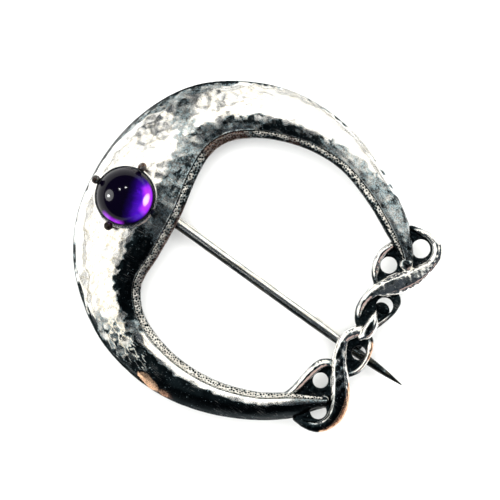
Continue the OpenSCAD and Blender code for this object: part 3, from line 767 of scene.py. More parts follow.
def skin_of(xs, ys, zs, field):
    """A smooth skin over a distance field: one point in each cell that the surface crosses."""
    nx, ny, nz = field.shape
    inside = field < 0
    corners = [(i, j, k) for i in (0, 1) for j in (0, 1) for k in (0, 1)]

    def part(a, c):
        return a[c[0]:nx - 1 + c[0], c[1]:ny - 1 + c[1], c[2]:nz - 1 + c[2]]

    count = sum(part(inside, c).astype(np.int8) for c in corners)
    crossed = (count > 0) & (count < 8)
    cells = np.argwhere(crossed)
    number = np.full(crossed.shape, -1, np.int64)
    number[crossed] = np.arange(len(cells))
    total = np.zeros((len(cells), 3))
    hits = np.zeros(len(cells))
    for axis in range(3):
        for c in corners:
            if c[axis]:
                continue
            e = list(c)
            e[axis] = 1
            a = part(field, c)[crossed]
            b = part(field, tuple(e))[crossed]
            cut = (a < 0) != (b < 0)
            t = np.where(cut, a / np.where(cut, a - b, 1), 0)
            place = np.tile(np.array(c, float), (len(cells), 1))
            place[:, axis] += t
            total += place * cut[:, None]
            hits += cut
    local = total / hits[:, None]
    step = np.array([xs[1] - xs[0], ys[1] - ys[0], zs[1] - zs[0]])
    points = np.array([xs[0], ys[0], zs[0]]) + (cells + local) * step
    faces = []
    for axis in range(3):
        u, v = [k for k in range(3) if k != axis]
        low = [slice(1, -1)] * 3
        low[axis] = slice(0, -1)
        high = list(low)
        high[axis] = slice(1, None)
        a, b = inside[tuple(low)], inside[tuple(high)]
        for starts, turned_over in ((a & ~b, False), (~a & b, True)):
            at = np.argwhere(starts)
            at[:, u] += 1
            at[:, v] += 1
            quads = []
            for du, dv in ((-1, -1), (0, -1), (0, 0), (-1, 0)):
                q = at.copy()
                q[:, u] += du
                q[:, v] += dv
                quads.append(number[q[:, 0], q[:, 1], q[:, 2]])
            quad = np.stack(quads, 1)
            if turned_over != (axis == 1):
                quad = quad[:, ::-1]
            faces.append(quad)
    return points, np.concatenate(faces)


def relaxed(points, faces, rounds):
    """Points moved a little towards the middle of their neighbours."""
    edges = np.concatenate([faces[:, [0, 1]], faces[:, [1, 2]], faces[:, [2, 3]], faces[:, [3, 0]]])
    for _ in range(rounds):
        total = np.zeros_like(points)
        hits = np.zeros(len(points))
        np.add.at(total, edges[:, 0], points[edges[:, 1]])
        np.add.at(hits, edges[:, 0], 1)
        points = points + 0.5 * (total / np.maximum(hits, 1)[:, None] - points)
    return points


def knot_shape(sizes):
    """The pierced knot, dark in its sunk ground and in places, with painted shade on its flat tops and its
    lower loop, and a painted rosy reflection on its right side.
    """
    points, faces = skin_of(*knot_field(in_mm(sizes.knot_step)))
    points = relaxed(points, faces, 6)
    normals = normals_of(points, faces)
    x, y, z = points.T
    high = z - KNOT_Z
    up = normals[:, 2]
    ground = 1 - smooth(high, GROUND_TOP + 0.1, GROUND_TOP + 0.45)
    flat = smooth(up, 0.9, 0.985) * smooth(high, 1.15, 1.45)
    lower = smooth(-y, 7.0, 10.5) * smooth(x, 30.5, 32.0)
    facing_low = smooth(-normals[:, 1] + 0.4 * normals[:, 0], -0.2, 0.6)
    worn = waves(points, seed=34, size=0.9)
    # Dark sunk ground, and painted shade on the flat tops and on the lower loop's tops and -y sides
    patina = ground + (0.42 + 0.20 * worn) * flat
    patina = patina + 0.95 * lower * np.maximum(smooth(up, 0.75, 0.95), facing_low)
    patina = patina + (0.10 + 0.20 * worn) * (x < 32.4) * (up > 0)
    for strength, *place in KNOT_SPOTS:
        patina = patina + strength * spot(x, y, *place)
    # More painted shade on the lower flats and over the lower loop
    patina = patina + 0.36 * flat * smooth(-y, 2.0, 4.5) + 0.3 * lower
    patina = np.where(up < -0.5, 0.5, patina)
    middle = ridge(y, 1.5, 2.8) * smooth(x, 34.2, 34.9)
    # Painted rosy reflection on the lower loop's right side and on faces that turn to +x, browner in
    # places
    away, half, _ = strand_field(np.array(PAINTED_ROSY_REFLECTION_SIDE), x, y)
    copper = (1 - smooth(away / half, 0.7, 1.2)) * (up > -0.3)
    copper += 0.8 * smooth(normals[:, 0], -0.1, 0.4) * ridge(y, -1.7, 1.3) * (x > 34.7)
    marks = {
        "patina": np.clip(patina + 0.9 * middle * ground, 0, 1),
        "copper": np.clip(copper, 0, 1),
        "brown": np.clip(0.3 * copper + 0.2 * worn * copper, 0, 1),
        "ground": ground * (up > -0.5),
    }
    dented = 0.012 * waves(points, seed=33, size=0.7) + 0.003 * waves(points, seed=35, size=0.35)
    return points + normals * dented[:, None], faces, marks


# Materials

class Socket:
    """A socket of a material, with arithmetic."""

    def __init__(self, finish, link):
        self.finish, self.link = finish, link

    def _with(self, operation, a, b):
        return self.finish.node("ShaderNodeMath", {"operation": operation}, {0: a, 1: b})

    def __add__(self, other):
        return self._with("ADD", self, other)

    def __radd__(self, other):
        return self._with("ADD", other, self)

    def __sub__(self, other):
        return self._with("SUBTRACT", self, other)

    def __rsub__(self, other):
        return self._with("SUBTRACT", other, self)

    def __mul__(self, other):
        return self._with("MULTIPLY", self, other)

    def __rmul__(self, other):
        return self._with("MULTIPLY", other, self)

    def __truediv__(self, other):
        return self._with("DIVIDE", self, other)


class Finish:
    """A material that is put together from nodes."""

    def __init__(self, name):
        self.material = bpy.data.materials.new(name)
        self.material.use_nodes = True
        self.tree = self.material.node_tree
        self.tree.nodes.clear()
        self.shader = self.tree.nodes.new("ShaderNodeBsdfPrincipled")
        output = self.tree.nodes.new("ShaderNodeOutputMaterial")
        self.tree.links.new(self.shader.outputs[0], output.inputs["Surface"])

    def node(self, kind, settings=None, sockets=None, out=0):
        """A node of any type with its settings and its sockets' values or links."""
        made = self.tree.nodes.new(kind)
        for key, value in (settings or {}).items():
            setattr(made, key, value)
        for key, value in (sockets or {}).items():
            self.feed(made.inputs[key], value)
        return Socket(self, made.outputs[out])

    def feed(self, target, value):
        """Link a socket to a target socket, or give the target a value."""
        if isinstance(value, Socket):
            self.tree.links.new(value.link, target)
        elif hasattr(target.default_value, "__len__"):
            given = list(value)
            target.default_value = (given + [1.0])[: len(target.default_value)]
        else:
            target.default_value = value

    def set(self, **sockets):
        """Values or links of the shader's own sockets."""
        for key, value in sockets.items():
            self.feed(self.shader.inputs[key.replace("_", " ").title().replace("Ior", "IOR")], value)

    def mix(self, factor, a, b):
        """Colour a where the factor is 0 and colour b where it is 1."""
        return self.node("ShaderNodeMix", {"data_type": "RGBA"}, {0: factor, 6: a, 7: b}, 2)

    def where(self):
        """Place on the object, in millimetres."""
        place = self.node("ShaderNodeTexCoord", out="Object")
        return self.node("ShaderNodeVectorMath", {"operation": "SCALE"}, {0: place, "Scale": 1 / MM})

    def noise(self, place, scale, detail=3.0, rough=0.5, twist=0.0):
        """Cloudy noise about 0.5, with scale in clouds to a millimetre."""
        return self.node("ShaderNodeTexNoise", {}, {
            "Vector": place, "Scale": scale, "Detail": detail, "Roughness": rough, "Distortion": twist})

    def stretched(self, place, turn, scale):
        """The place turned by degrees round z and scaled."""
        return self.node("ShaderNodeMapping", {}, {
            "Vector": place, "Rotation": (0.0, 0.0, math.radians(turn)), "Scale": scale})

    def step(self, value, low, high):
        """0 up to the low value and 1 from the high one, easing in and out."""
        return self.node("ShaderNodeMapRange", {"interpolation_type": "SMOOTHSTEP"}, {
            "Value": value, "From Min": low, "From Max": high, "To Min": 0.0, "To Max": 1.0})

    def mark(self, name):
        """A mark that the piece's mesh carries."""
        return self.node("ShaderNodeAttribute", {"attribute_name": name}, out="Fac")

    def bump(self, height, distance):
        """A bump whose distance is in millimetres."""
        return self.node("ShaderNodeBump", {}, {
            "Height": height, "Distance": distance * MM, "Strength": 1.0})


def scratches(finish, place):
    """Hairlines in three directions, between 0 and 1."""
    total = None
    for turn, scale in ((24, (0.5, 14.0, 1.0)), (-38, (0.6, 17.0, 1.0)), (80, (0.45, 12.0, 1.0))):
        line = finish.noise(finish.stretched(place, turn, scale), 1.0, 2.0)
        line = finish.step(line, 0.60, 0.72)
        total = line if total is None else total + line
    return total * 0.4


def silver_finish(name, colours, grain=1.0, extras=(), clean=None):
    """Worked silver: bright metal, dark slate in patches, hairlines and small pits. The slate is sulphide
    in places and painted shade in others.

    The extras name the marks, the wear and the painted shading and reflection that it shows besides, and
    clean gives the two colours of its bright metal where they aren't those of clean silver.
    """
    finish = Finish(name)
    place = finish.where()
    cloud = finish.noise(place, 0.55, 4.0, 0.6)
    mottle = finish.noise(place, 2.4, 6.0, 0.7, 0.8)
    speck = finish.noise(place, 5.5, 3.0, 0.6, 0.4)
    fine = finish.noise(place, 9.0, 4.0, 0.6)
    lines = scratches(finish, place)
    # The dark mark is sulphide in places and painted shade where the metal would mirror the dark
    patina = finish.mark("patina")
    uneven = 0.45 if "ground" in extras else 1.0
    spread = patina + (mottle - 0.5) * (1.1 * patina + 0.10) * uneven + (cloud - 0.5) * 0.35 * patina
    dark = finish.step(spread, 0.15, 0.80)
    bright, worn = clean or (colours.silver, colours.silver_warm)
    colour = finish.mix(finish.step(cloud, 0.35, 0.65), bright, worn)
    deep = finish.step(patina, 0.66, 0.96)
    rubbed = finish.step(mottle * 0.5 + speck * 0.5 - deep * 0.15, 0.43, 0.57)
    slate = finish.mix(rubbed, colours.patina, colours.thin_patina_and_painted_shade)
    colour = finish.mix(dark, colour, slate)
    colour = finish.mix(lines * dark * finish.step(cloud, 0.5, 0.62) * 0.5, colour, colours.silver)
    pits = finish.step(finish.noise(place, 3.1, 2.0), 0.70, 0.75)
    colour = finish.mix(pits * 0.7, colour, colours.thin_patina_and_painted_shade)
    # Painted shading in yellow along the edges of the hammer marks
    if "crease" in extras:
        crease = finish.mark("crease") * finish.step(mottle, 0.35, 0.6) * (1 - dark)
        colour = finish.mix(crease * 0.8, colour, colours.yellow_tarnish_and_painted_shading)
    if "brown" in extras:
        brown = finish.step(finish.mark("brown") + (mottle - 0.5) * 0.8, 0.3, 0.75)
        stain = finish.mix(finish.step(fine, 0.5, 0.7), colours.tarnish, colours.yellow_tarnish_and_painted_shading)
        colour = finish.mix(brown * (0.9 - 0.5 * dark), colour, stain)
    if "drawn" in extras:
        along = finish.stretched(place, math.degrees(STEM_ANGLE), (0.05, 5.0, 5.0))
        drawn = finish.step(finish.noise(along, 1.0, 3.0, 0.6), 0.50, 0.62)
        colour = finish.mix(drawn * (0.55 - 0.45 * dark), colour, colours.yellow_tarnish_and_painted_shading)
    # Copper showing through on the crescent, and on the knot a painted rosy reflection
    if "copper" in extras:
        copper = finish.step(finish.mark("copper") + (mottle - 0.5) * 0.7, 0.32, 0.5)
        rust_and_painted_reflection_share = finish.step(speck, 0.56, 0.66) + finish.mark("brown") * 0.8
        rust_and_painted_reflection = finish.mix(rust_and_painted_reflection_share, colours.copper, colours.tarnish)
        colour = finish.mix(copper * 0.92, colour, rust_and_painted_reflection)
    if "ground" in extras:
        grit = finish.node("ShaderNodeTexVoronoi", {"feature": "F1"}, {"Vector": place, "Scale": 5.5})
        fine = fine * 0.5 + grit * finish.mark("ground") * 1.8
    rough = 0.16 + 0.12 * dark + (fine - 0.5) * 0.12 + lines * 0.08 + pits * 0.2
    if clean:
        rough = rough + 0.16
    height = fine * 0.35 * grain + mottle * 0.45 * grain - lines * 0.12 - pits * 0.8
    finish.set(base_color=colour, metallic=1.0, roughness=rough, normal=finish.bump(height, 0.018))
    return finish.material


def stone_finish(colours):
    """Amethyst: nearly black, with a painted violet glow, also emitted, where light would gather on the
    side away from the lamps.
    """
    finish = Finish("amethyst_polished")
    place = finish.where()
    centre = placed([STONE_AT])[0] / MM
    local = finish.node("ShaderNodeVectorMath", {"operation": "SUBTRACT"}, {0: place, 1: tuple(centre)})
    flat = finish.node("ShaderNodeVectorMath", {"operation": "MULTIPLY"}, {0: local, 1: (1.0, 1.0, 0.0)})
    rim = finish.node("ShaderNodeVectorMath", {"operation": "LENGTH"}, {0: flat}, "Value")
    veil = finish.noise(place, 0.9, 4.0, 0.6, 1.2)
    wisp = finish.noise(place, 2.6, 3.0, 0.5, 0.6)
    inside = 1 - finish.step(rim, 3.15, 3.42)
    shift = (veil - 0.5) * 0.9
    along, beside = towards(finish, flat, 13), towards(finish, flat, 103)
    glow_way, arc_way = towards(finish, flat, 21) / rim, towards(finish, flat, -90) / rim
    aside = finish.node("ShaderNodeMath", {"operation": "ABSOLUTE"}, {0: beside})
    # Painted glow: faint violet over the far side, a violet pool, a bright edge, a pink core, a lighter
    # wisp and an arc along the lower rim
    deep = finish.step(along + shift, 0.0, 2.0) * (1 - finish.step(aside, 2.2, 3.3)) * inside
    pool = finish.step(along + shift, 0.8, 2.4) * (1 - finish.step(aside, 1.7, 3.0)) * inside
    bright = finish.step(rim + shift * 0.3, 2.0, 2.7) * finish.step(glow_way, 0.74, 0.93) * inside
    core = oval(finish, along + shift * 0.2, beside, (2.62, 0.35), (0.42, 0.95)) * inside
    spark = oval(finish, along, beside, (1.45, 0.95), (0.5, 0.4)) * finish.step(wisp, 0.45, 0.65)
    arc = finish.step(rim, 2.85, 3.3) * (1 - finish.step(rim, 3.36, 3.46))
    arc = arc * finish.step(arc_way, 0.86, 0.99)
    colour = finish.mix(deep * 0.9, colours.stone_dark, colours.stone_painted_faint_glow)
    colour = finish.mix(pool * 0.9 + spark * 0.4, colour, colours.stone)
    colour = finish.mix(arc * 0.7, colour, colours.stone_glow)
    colour = finish.mix(bright * 0.7, colour, colours.stone_glow)
    colour = finish.mix(core * 0.8, colour, colours.stone_painted_glow_core)
    # The painted colours are also emitted, so the stone glows without a lamp
    finish.set(base_color=colour, metallic=0.0, roughness=0.09, ior=1.54, specular_ior_level=0.08,
               emission_color=colour, emission_strength=0.75)
    return finish.material


def towards(finish, place, azimuth):
    """How far a place lies towards an azimuth in degrees."""
    a = math.radians(azimuth)
    return finish.node("ShaderNodeVectorMath", {"operation": "DOT_PRODUCT"}, {
        0: place, 1: (math.cos(a), math.sin(a), 0.0)}, "Value")


def oval(finish, x, y, centre, size):
    """A soft oval spot, 1 in its middle and 0 at its edge."""
    dx, dy = (x - centre[0]) / size[0], (y - centre[1]) / size[1]
    return 1 - finish.step(dx * dx + dy * dy, 0.1, 1.0)


def floor_finish(colours):
    """A pale matt floor, very slightly uneven in tone."""
    finish = Finish("pale_floor")
    place = finish.where()
    grain = finish.noise(place, 0.02, 2.0)
    colour = finish.mix(grain, colours.floor, [c * 0.985 for c in colours.floor])
    finish.set(base_color=colour, metallic=0.0, roughness=0.85)
    return finish.material


# Sizes and colours of the panel

def length_setting(name, default, description, low, high):
    """A length of the panel. Its default and limits are given here in millimetres."""
    return bpy.props.FloatProperty(
        name=name, description=description, default=default * MM, min=low * MM, max=high * MM,
        precision=5, subtype="DISTANCE", unit="LENGTH")


def colour_setting(name, default, description):
    """A colour of the panel."""
    return bpy.props.FloatVectorProperty(name=name, description=description, default=default,
                                         size=3, subtype="COLOR", min=0.0, max=1.0)


class BroochSizes(bpy.types.PropertyGroup):
    """Sizes of the worked surface."""

    hammer_mark: length_setting("Hammer mark", 0.78, "Radius of a hammer mark", 0.3, 2.0)
    hammer_depth: length_setting("Hammer depth", 0.05, "Depth of a hammer mark", 0.0, 0.2)
    punch_size: length_setting("Punch mark", 0.15, "Radius of a punch mark", 0.05, 0.4)
    punch_depth: length_setting("Punch depth", 0.09, "Depth of a punch mark", 0.0, 0.2)
    punch_spacing: length_setting("Punch spacing", 0.27, "Distance between punch marks", 0.1, 1.0)
    knot_step: length_setting("Knot grid", 0.075, "Fineness of the knot's skin", 0.05, 0.2)


class BroochColours(bpy.types.PropertyGroup):
    """Colours of the silver, its stains and its painted shade, the stone with its painted glow, and the
    floor.
    """

    silver: colour_setting("Silver", (0.90, 0.89, 0.86), "Clean silver")
    silver_warm: colour_setting("Warm silver", (0.88, 0.85, 0.78), "Silver that is starting to turn")
    claw: colour_setting("Claws", (0.92, 0.80, 0.58), "Metal of the ball claws")
    band: colour_setting("Band", (0.88, 0.85, 0.78), "Silver between the punch marks")
    band_shade: colour_setting("Band shade", (0.64, 0.60, 0.53), "Duller silver between the punch marks")
    # The two slate colours stand for sulphide and also for painted shade on the silver
    patina: colour_setting("Patina", (0.006, 0.010, 0.012), "Dark sulphide patina")
    thin_patina_and_painted_shade: colour_setting("Thin patina", (0.265, 0.345, 0.37), "Patina that is rubbed thin")
    # The brown also tints the painted rosy reflection on the knot
    tarnish: colour_setting("Brown tarnish", (0.13, 0.048, 0.036), "Brown stain in the punched band")
    # The yellow also paints the shading along the edges of the hammer marks
    yellow_tarnish_and_painted_shading: colour_setting("Yellow tarnish", (0.52, 0.45, 0.30), "Thin yellow stain")
    # Copper also paints the rosy reflection on the knot
    copper: colour_setting("Copper", (0.96, 0.60, 0.38), "Copper showing through")
    # The amethyst's colours paint its glow and its dark, and are also emitted
    stone: colour_setting("Amethyst", (0.050, 0.004, 0.36), "Body colour of the stone")
    stone_painted_faint_glow: colour_setting("Amethyst depth", (0.012, 0.001, 0.11), "Deep part of the stone")
    stone_dark: colour_setting("Amethyst shade", (0.0012, 0.0005, 0.004), "Stone that sends no light back")
    stone_glow: colour_setting("Amethyst glow", (0.42, 0.03, 0.85), "Stone where light gathers")
    stone_painted_glow_core: colour_setting("Amethyst spark", (0.95, 0.55, 1.0), "Brightest spot of the stone")
    floor: colour_setting("Floor", (0.90, 0.90, 0.89), "Surface the brooch lies on")


# Stone, setting, pin and fittings

def hinge_frame(leaned):
    """Matrix from the hinge's own frame. Leaned, its z axis is the hinge axis."""
    turn = Matrix.Translation(HINGE_AT) @ Matrix.Rotation(-STEM_ANGLE, 4, "Z")
    return turn @ Matrix.Rotation(-math.pi / 2 - HINGE_LEAN, 4, "X") if leaned else turn


def moved_by(matrix, shape):
    """Points and faces with the points moved by a matrix."""
    points, faces = shape
    m = np.array(matrix)
    return points @ m[:3, :3].T + m[:3, 3], faces


def dulled(points, amount=0.35):
    """Marks of an evenly dulled fitting."""
    return {"patina": np.clip(amount + 0.2 * waves(points, seed=41, size=1.1), 0, 1)}


def seat_shape():
    """The seat under the stone with its thin lip. Its foot follows the slope of the dome."""
    top, girdle = STONE_AT[2] + SEAT_LIP, STONE_R + 0.07
    profile = [(SEAT_INNER_R, SEAT_FOOT_Z), (SEAT_INNER_R, SEAT_Z), (girdle, SEAT_Z),
               (girdle, top - 0.08), (STONE_R + 0.12, top - 0.01), (STONE_R + 0.2, top + 0.02),
               (SEAT_R - 0.06, top - 0.02), (SEAT_R, top - 0.12), (SEAT_R, top - 0.5),
               (SEAT_R + 0.02, SEAT_FOOT_Z), (SEAT_R + 0.04, 2.2)]
    points, _ = turned(profile, SEAT_SIDES)
    points[:, :2] *= (1 + 0.018 * waves(points, seed=51, size=2.0) / SEAT_R)[:, None]
    points[:, 2] += 0.015 * waves(points, seed=52, size=1.4)
    points[:, 1] += STONE_AT[1]
    lowest = np.clip(4.35 + 0.5 * points[:, 0], 2.3, 4.6)
    points[:, 2] = np.where(points[:, 2] < SEAT_FOOT_Z - 0.05, lowest, points[:, 2])
    return points, tube_faces(len(profile), SEAT_SIDES, flip=True, ring=True)


def claws_shape():
    """Four ball claws on their wires, each ball darker by its own amount and darker still low down."""
    a = np.radians(np.linspace(-65, 90, 13))
    ball = [(CLAW_BALL_R * math.cos(k), CLAW_Z + CLAW_BALL_R * math.sin(k)) for k in a[:-1]]
    ball.append((TIP_R, CLAW_Z + CLAW_BALL_R))
    parts = []
    for number, (azimuth, foot) in enumerate(CLAW_FEET):
        wire = [(CLAW_WIRE_R, foot), (CLAW_WIRE_R, 5.0), (CLAW_WIRE_R * 0.96, 5.5)]
        points, faces = turned(wire + ball, CLAW_SIDES)
        points[:, :2] *= 1 + 0.03 * waves(points, seed=53 + number, size=0.9)[:, None]
        around = Matrix.Translation((0, STONE_AT[1], 0)) @ Matrix.Rotation(math.radians(azimuth), 4, "Z")
        parts.append(moved_by(around @ Matrix.Translation((CLAW_R, 0, 0)), (points, faces)))
    points, faces = joined(parts)
    marks = dulled(points, 0.32)
    side, front = points[:, 0], points[:, 1] - STONE_AT[1]
    darkened = 0.65 * (front < -2) + 0.9 * (side > 2) + 0.6 * (side < -2) + 0.3 * (front > 2)
    darkened = darkened + 0.7 * (1 - smooth(points[:, 2], 6.1, 6.45))
    marks["patina"] = np.clip(marks["patina"] + darkened, 0, 1)
    marks["brown"] = np.where(side > 2, 0.1, np.where(front > 2, 0.8, 0.5))
    return points, faces, marks


def stone_shape():
    """A round cabochon: a flat underside, a low girdle and a dome that is part of a ball."""
    dome_h = STONE_H - GIRDLE_H
    ball_r = (STONE_R ** 2 + dome_h ** 2) / (2 * dome_h)
    profile = [(TIP_R, 0.0), (STONE_R - 0.35, 0.0), (STONE_R - 0.12, 0.03), (STONE_R - 0.03, 0.12),
               (STONE_R, 0.28)]
    for a in math.asin(STONE_R / ball_r) * np.linspace(1, 0, STONE_ROWS):
        profile.append((max(ball_r * math.sin(a), TIP_R), STONE_H - ball_r * (1 - math.cos(a))))
    points, faces = turned(profile, STONE_SIDES)
    return points + STONE_AT, faces


def pin_shape():
    """The straight pin and its barrel, drawn out in fine lines and dark at the point, with painted shade
    on its -y side and painted dark and light lines along it.
    """
    at, share = np.array(STEM).T
    runs = np.unique(np.concatenate([np.linspace(0, at[-1], STEM_ROWS), at]))
    points, faces = turned(np.column_stack([np.interp(runs, at, share) * STEM_R, runs]), STEM_SIDES)
    side, run, stem_points = points[:, 1] / STEM_R, points[:, 2], len(points)
    points[:, :2] *= (1 + 0.008 * waves(points, seed=61, size=3.5))[:, None]
    stem = moved_by(hinge_frame(False) @ Matrix.Rotation(math.pi / 2, 4, "Y"), (points, faces))
    half = BARREL_L / 2
    end = [(BARREL_R, half - BARREL_EDGE), (BARREL_R - 0.03, half - 0.04), (BARREL_R - BARREL_EDGE, half),
           (BARREL_BORE_R, half)]
    barrel = moved_by(hinge_frame(True), turned([(r, -z) for r, z in end[::-1]] + end, BARREL_SIDES))
    points, faces = joined([stem, barrel])
    patina = 0.27 + 0.08 * waves(points, seed=62, size=2.5) + 0.65 * smooth(points[:, 0], 31.0, 35.5)
    # Painted shade over the -y side, deeper along the far half, painted dark lines near and at the +y
    # edge, and a painted light line on the -y side near the hinge
    painted_side_shading = 0.8 * smooth(-side, 0.42, 0.56) + 0.35 * ridge(side, 0.62, 0.05)
    painted_side_shading += 0.3 * smooth(side, 0.9, 0.97)
    painted_side_shading += 0.25 * smooth(run, 14.0, 24.0) * (1 - smooth(side, -0.15, 0.05))
    painted_side_shading -= 0.25 * ridge(side, -0.32, 0.08) * (1 - smooth(run, 16.0, 24.0))
    patina[:stem_points] += painted_side_shading
    return points, faces, {"patina": np.clip(patina, 0, 1)}


def ears_shape():
    """The two hinge ears, rounded at the top, each reaching down to the hollow of the dome."""
    a = np.radians(np.linspace(0, 180, 25))
    round_end = np.column_stack([EAR_R * np.cos(a), EAR_R * np.sin(a)])
    parts = []
    for start, reach in zip((EAR_FROM, -EAR_FROM - EAR_T), EAR_REACH):
        outline = np.concatenate([[[-EAR_R, -reach], [EAR_R, -reach]], round_end])
        parts.append(moved_by(hinge_frame(True), slab(outline, start, start + EAR_T, 0.1)))
    return joined(parts)


def rivet_shape():
    """The hinge rivet with a domed head at each end."""
    head = EAR_FROM + EAR_T + 0.03
    cap = [(RIVET_HEAD_R * math.cos(k), head + 0.05 + RIVET_HEAD_H * math.sin(k))
           for k in np.radians(np.linspace(0, 90, 9)[:-1])]
    cap.append((TIP_R, head + 0.05 + RIVET_HEAD_H))
    side = [(RIVET_R, 0.0), (RIVET_R, head), (RIVET_HEAD_R - 0.04, head)] + cap
    profile = [(r, -z) for r, z in side[::-1]] + side[1:]
    return moved_by(hinge_frame(True), turned(profile, RIVET_SIDES))


def hook_shape():
    """The hook behind the knot: a strip bent to a J on a round foot."""
    middle = HOOK_R + HOOK_T / 2
    up, down = KNOT_Z - HINGE_AT[2] - HOOK_T / 2, HOOK_R + HOOK_T - HINGE_AT[2]
    bend = HOOK_SIDE + middle
    straight = [HOOK_FOOT, *np.linspace(HOOK_FOOT - 0.5, bend + HOOK_CORNER, 8)]
    path = [(HOOK_AT, y, up) for y in straight]
    for a in np.radians(np.linspace(0, 90, 8))[1:]:
        along, under = HOOK_CORNER * (1 - math.sin(a)), HOOK_CORNER * (1 - math.cos(a))
        path.append((HOOK_AT, bend + along, up - under))
    for a in np.linspace(0, HOOK_END, 22):
        path.append((HOOK_AT, HOOK_SIDE + middle * math.cos(a), down + middle * math.sin(a)))
    scales = np.ones(len(path))
    scales[-4:] = (0.98, 0.9, 0.78, 0.6)
    strip = swept(path, (1.0, 0.0, 0.0), rounded_section(HOOK_W, HOOK_T, 0.16), scales)
    a = np.radians(np.arange(0, 360, 8))
    disc = np.column_stack([HOOK_AT + HOOK_FOOT_R * np.cos(a), HOOK_FOOT + HOOK_FOOT_R * np.sin(a)])
    foot = slab(disc, up - HOOK_T / 2, up + HOOK_T / 2 + 0.01, 0.12)
    return moved_by(hinge_frame(False), joined([strip, foot]))


# Operators

class BROOCH_OT_crescent(bpy.types.Operator):
    """Hammered crescent and arms, hollow behind"""

    bl_idname = "brooch.crescent"
    bl_label = "Crescent and Arms"

    def execute(self, context):
        scene = context.scene
        points, faces, marks = crescent_shape(scene.brooch_sizes)
        extras = ("crease", "brown", "copper")
        finish = silver_finish("silver_hammered", scene.brooch_colours, 1.0, extras)
        solid("silver_crescent", points, faces, finish, marks, 60)
        return {"FINISHED"}


class BROOCH_OT_punched_band(bpy.types.Operator):
    """Punched band along the inner edge"""

    bl_idname = "brooch.punched_band"
    bl_label = "Punched Band"

    def execute(self, context):
        colours = context.scene.brooch_colours
        points, faces, marks = band_shape(context.scene.brooch_sizes)
        clean = (colours.band, colours.band_shade)
        finish = silver_finish("silver_punched", colours, 0.8, ("brown",), clean)
        solid("punched_band", points, faces, finish, marks, 60)
        return {"FINISHED"}


class BROOCH_OT_knot(bpy.types.Operator):
    """Pierced knot of two bevelled strands"""

    bl_idname = "brooch.knot"
    bl_label = "Pierced Knot"

    def execute(self, context):
        scene = context.scene
        points, faces, marks = knot_shape(scene.brooch_sizes)
        finish = silver_finish("silver_knot", scene.brooch_colours, 0.5, ("copper", "ground"))
        solid("pierced_knot", points, faces, finish, marks, 75)
        return {"FINISHED"}


class BROOCH_OT_setting(bpy.types.Operator):
    """Seat with its thin lip, and four ball claws"""

    bl_idname = "brooch.setting"
    bl_label = "Stone Setting"

    def execute(self, context):
        colours = context.scene.brooch_colours
        points, faces = seat_shape()
        solid("stone_seat", points, faces, silver_finish("silver_setting", colours), dulled(points, 0.12))
        points, faces, marks = claws_shape()
        clean = (colours.claw, colours.yellow_tarnish_and_painted_shading)
        finish = silver_finish("silver_claws", colours, 1.0, ("brown",), clean)
        solid("claws", points, faces, finish, marks)
        return {"FINISHED"}


class BROOCH_OT_amethyst(bpy.types.Operator):
    """Round cabochon"""

    bl_idname = "brooch.amethyst"
    bl_label = "Amethyst"

    def execute(self, context):
        points, faces = stone_shape()
        solid("amethyst_cabochon", points, faces, stone_finish(context.scene.brooch_colours), sharp=60,
              stands_for="amethyst")
        return {"FINISHED"}


class BROOCH_OT_pin(bpy.types.Operator):
    """Straight pin with its barrel"""

    bl_idname = "brooch.pin"
    bl_label = "Pin"

    def execute(self, context):
        points, faces, marks = pin_shape()
        finish = silver_finish("silver_pin", context.scene.brooch_colours, 0.35, ("drawn",))
        solid("pin", points, faces, finish, marks, body="pin", stands_for="pin_stem")
        return {"FINISHED"}


class BROOCH_OT_fittings(bpy.types.Operator):
    """Hinge ears, rivet and the hook behind the knot"""

    bl_idname = "brooch.fittings"
    bl_label = "Hinge and Hook"

    def execute(self, context):
        colours = context.scene.brooch_colours
        finish = silver_finish("silver_fittings", colours)
        points, faces = ears_shape()
        solid("hinge_ears", points, faces, finish, dulled(points))
        points, faces = rivet_shape()
        solid("hinge_rivet_domed", points, faces, silver_finish("silver_rivet", colours),
              dulled(points, 0.45), stands_for="hinge_rivet")
        points, faces = hook_shape()
        solid("pin_hook", points, faces, finish, dulled(points, 0.95))
        return {"FINISHED"}


# Stage

def add_floor(scene):
    """A pale floor under the brooch."""
    mesh = bpy.data.meshes.new("floor")
    corners = [(x * FLOOR_REACH, y * FLOOR_REACH, 0) for x, y in ((-1, -1), (1, -1), (1, 1), (-1, 1))]
    mesh.from_pydata(corners, [], [(0, 1, 2, 3)])
    floor = bpy.data.objects.new("floor", mesh)
    mesh.materials.append(floor_finish(scene.brooch_colours))
    scene.collection.objects.link(floor)


def add_light(scene, name, azimuth, zenith, width, height, radiance, tint, shown):
    """A soft light that faces the brooch, with its angles and sizes in degrees."""
    wide, high = (2 * LIGHT_AWAY * math.tan(math.radians(k / 2)) for k in (width, height))
    data = bpy.data.lights.new(name, "AREA")
    data.shape = "ELLIPSE" if shown == "shine" else "RECTANGLE"
    data.size, data.size_y = wide, high
    data.energy = radiance * math.pi * wide * high
    data.color = tint
    lamp = bpy.data.objects.new(name, data)
    a, z = math.radians(azimuth), math.radians(zenith)
    way = Vector((math.cos(a) * math.sin(z), math.sin(a) * math.sin(z), math.cos(z)))
    lamp.location = way * LIGHT_AWAY
    lamp.rotation_mode = "QUATERNION"
    lamp.rotation_quaternion = way.to_track_quat("Z", "Y")
    lamp.visible_camera = False
    lamp.visible_glossy = shown != "floor"
    lamp.visible_diffuse = shown != "shine"
    scene.collection.objects.link(lamp)
    return lamp


def aim(lamp, piece, state):
    """Let a light reach that piece alone, with INCLUDE, or all but that piece, with EXCLUDE."""
    reach = bpy.data.collections.new(lamp.name + "_reach")
    reach.objects.link(piece)
    reach.collection_objects[0].light_linking.link_state = state
    lamp.light_linking.receiver_collection = reach


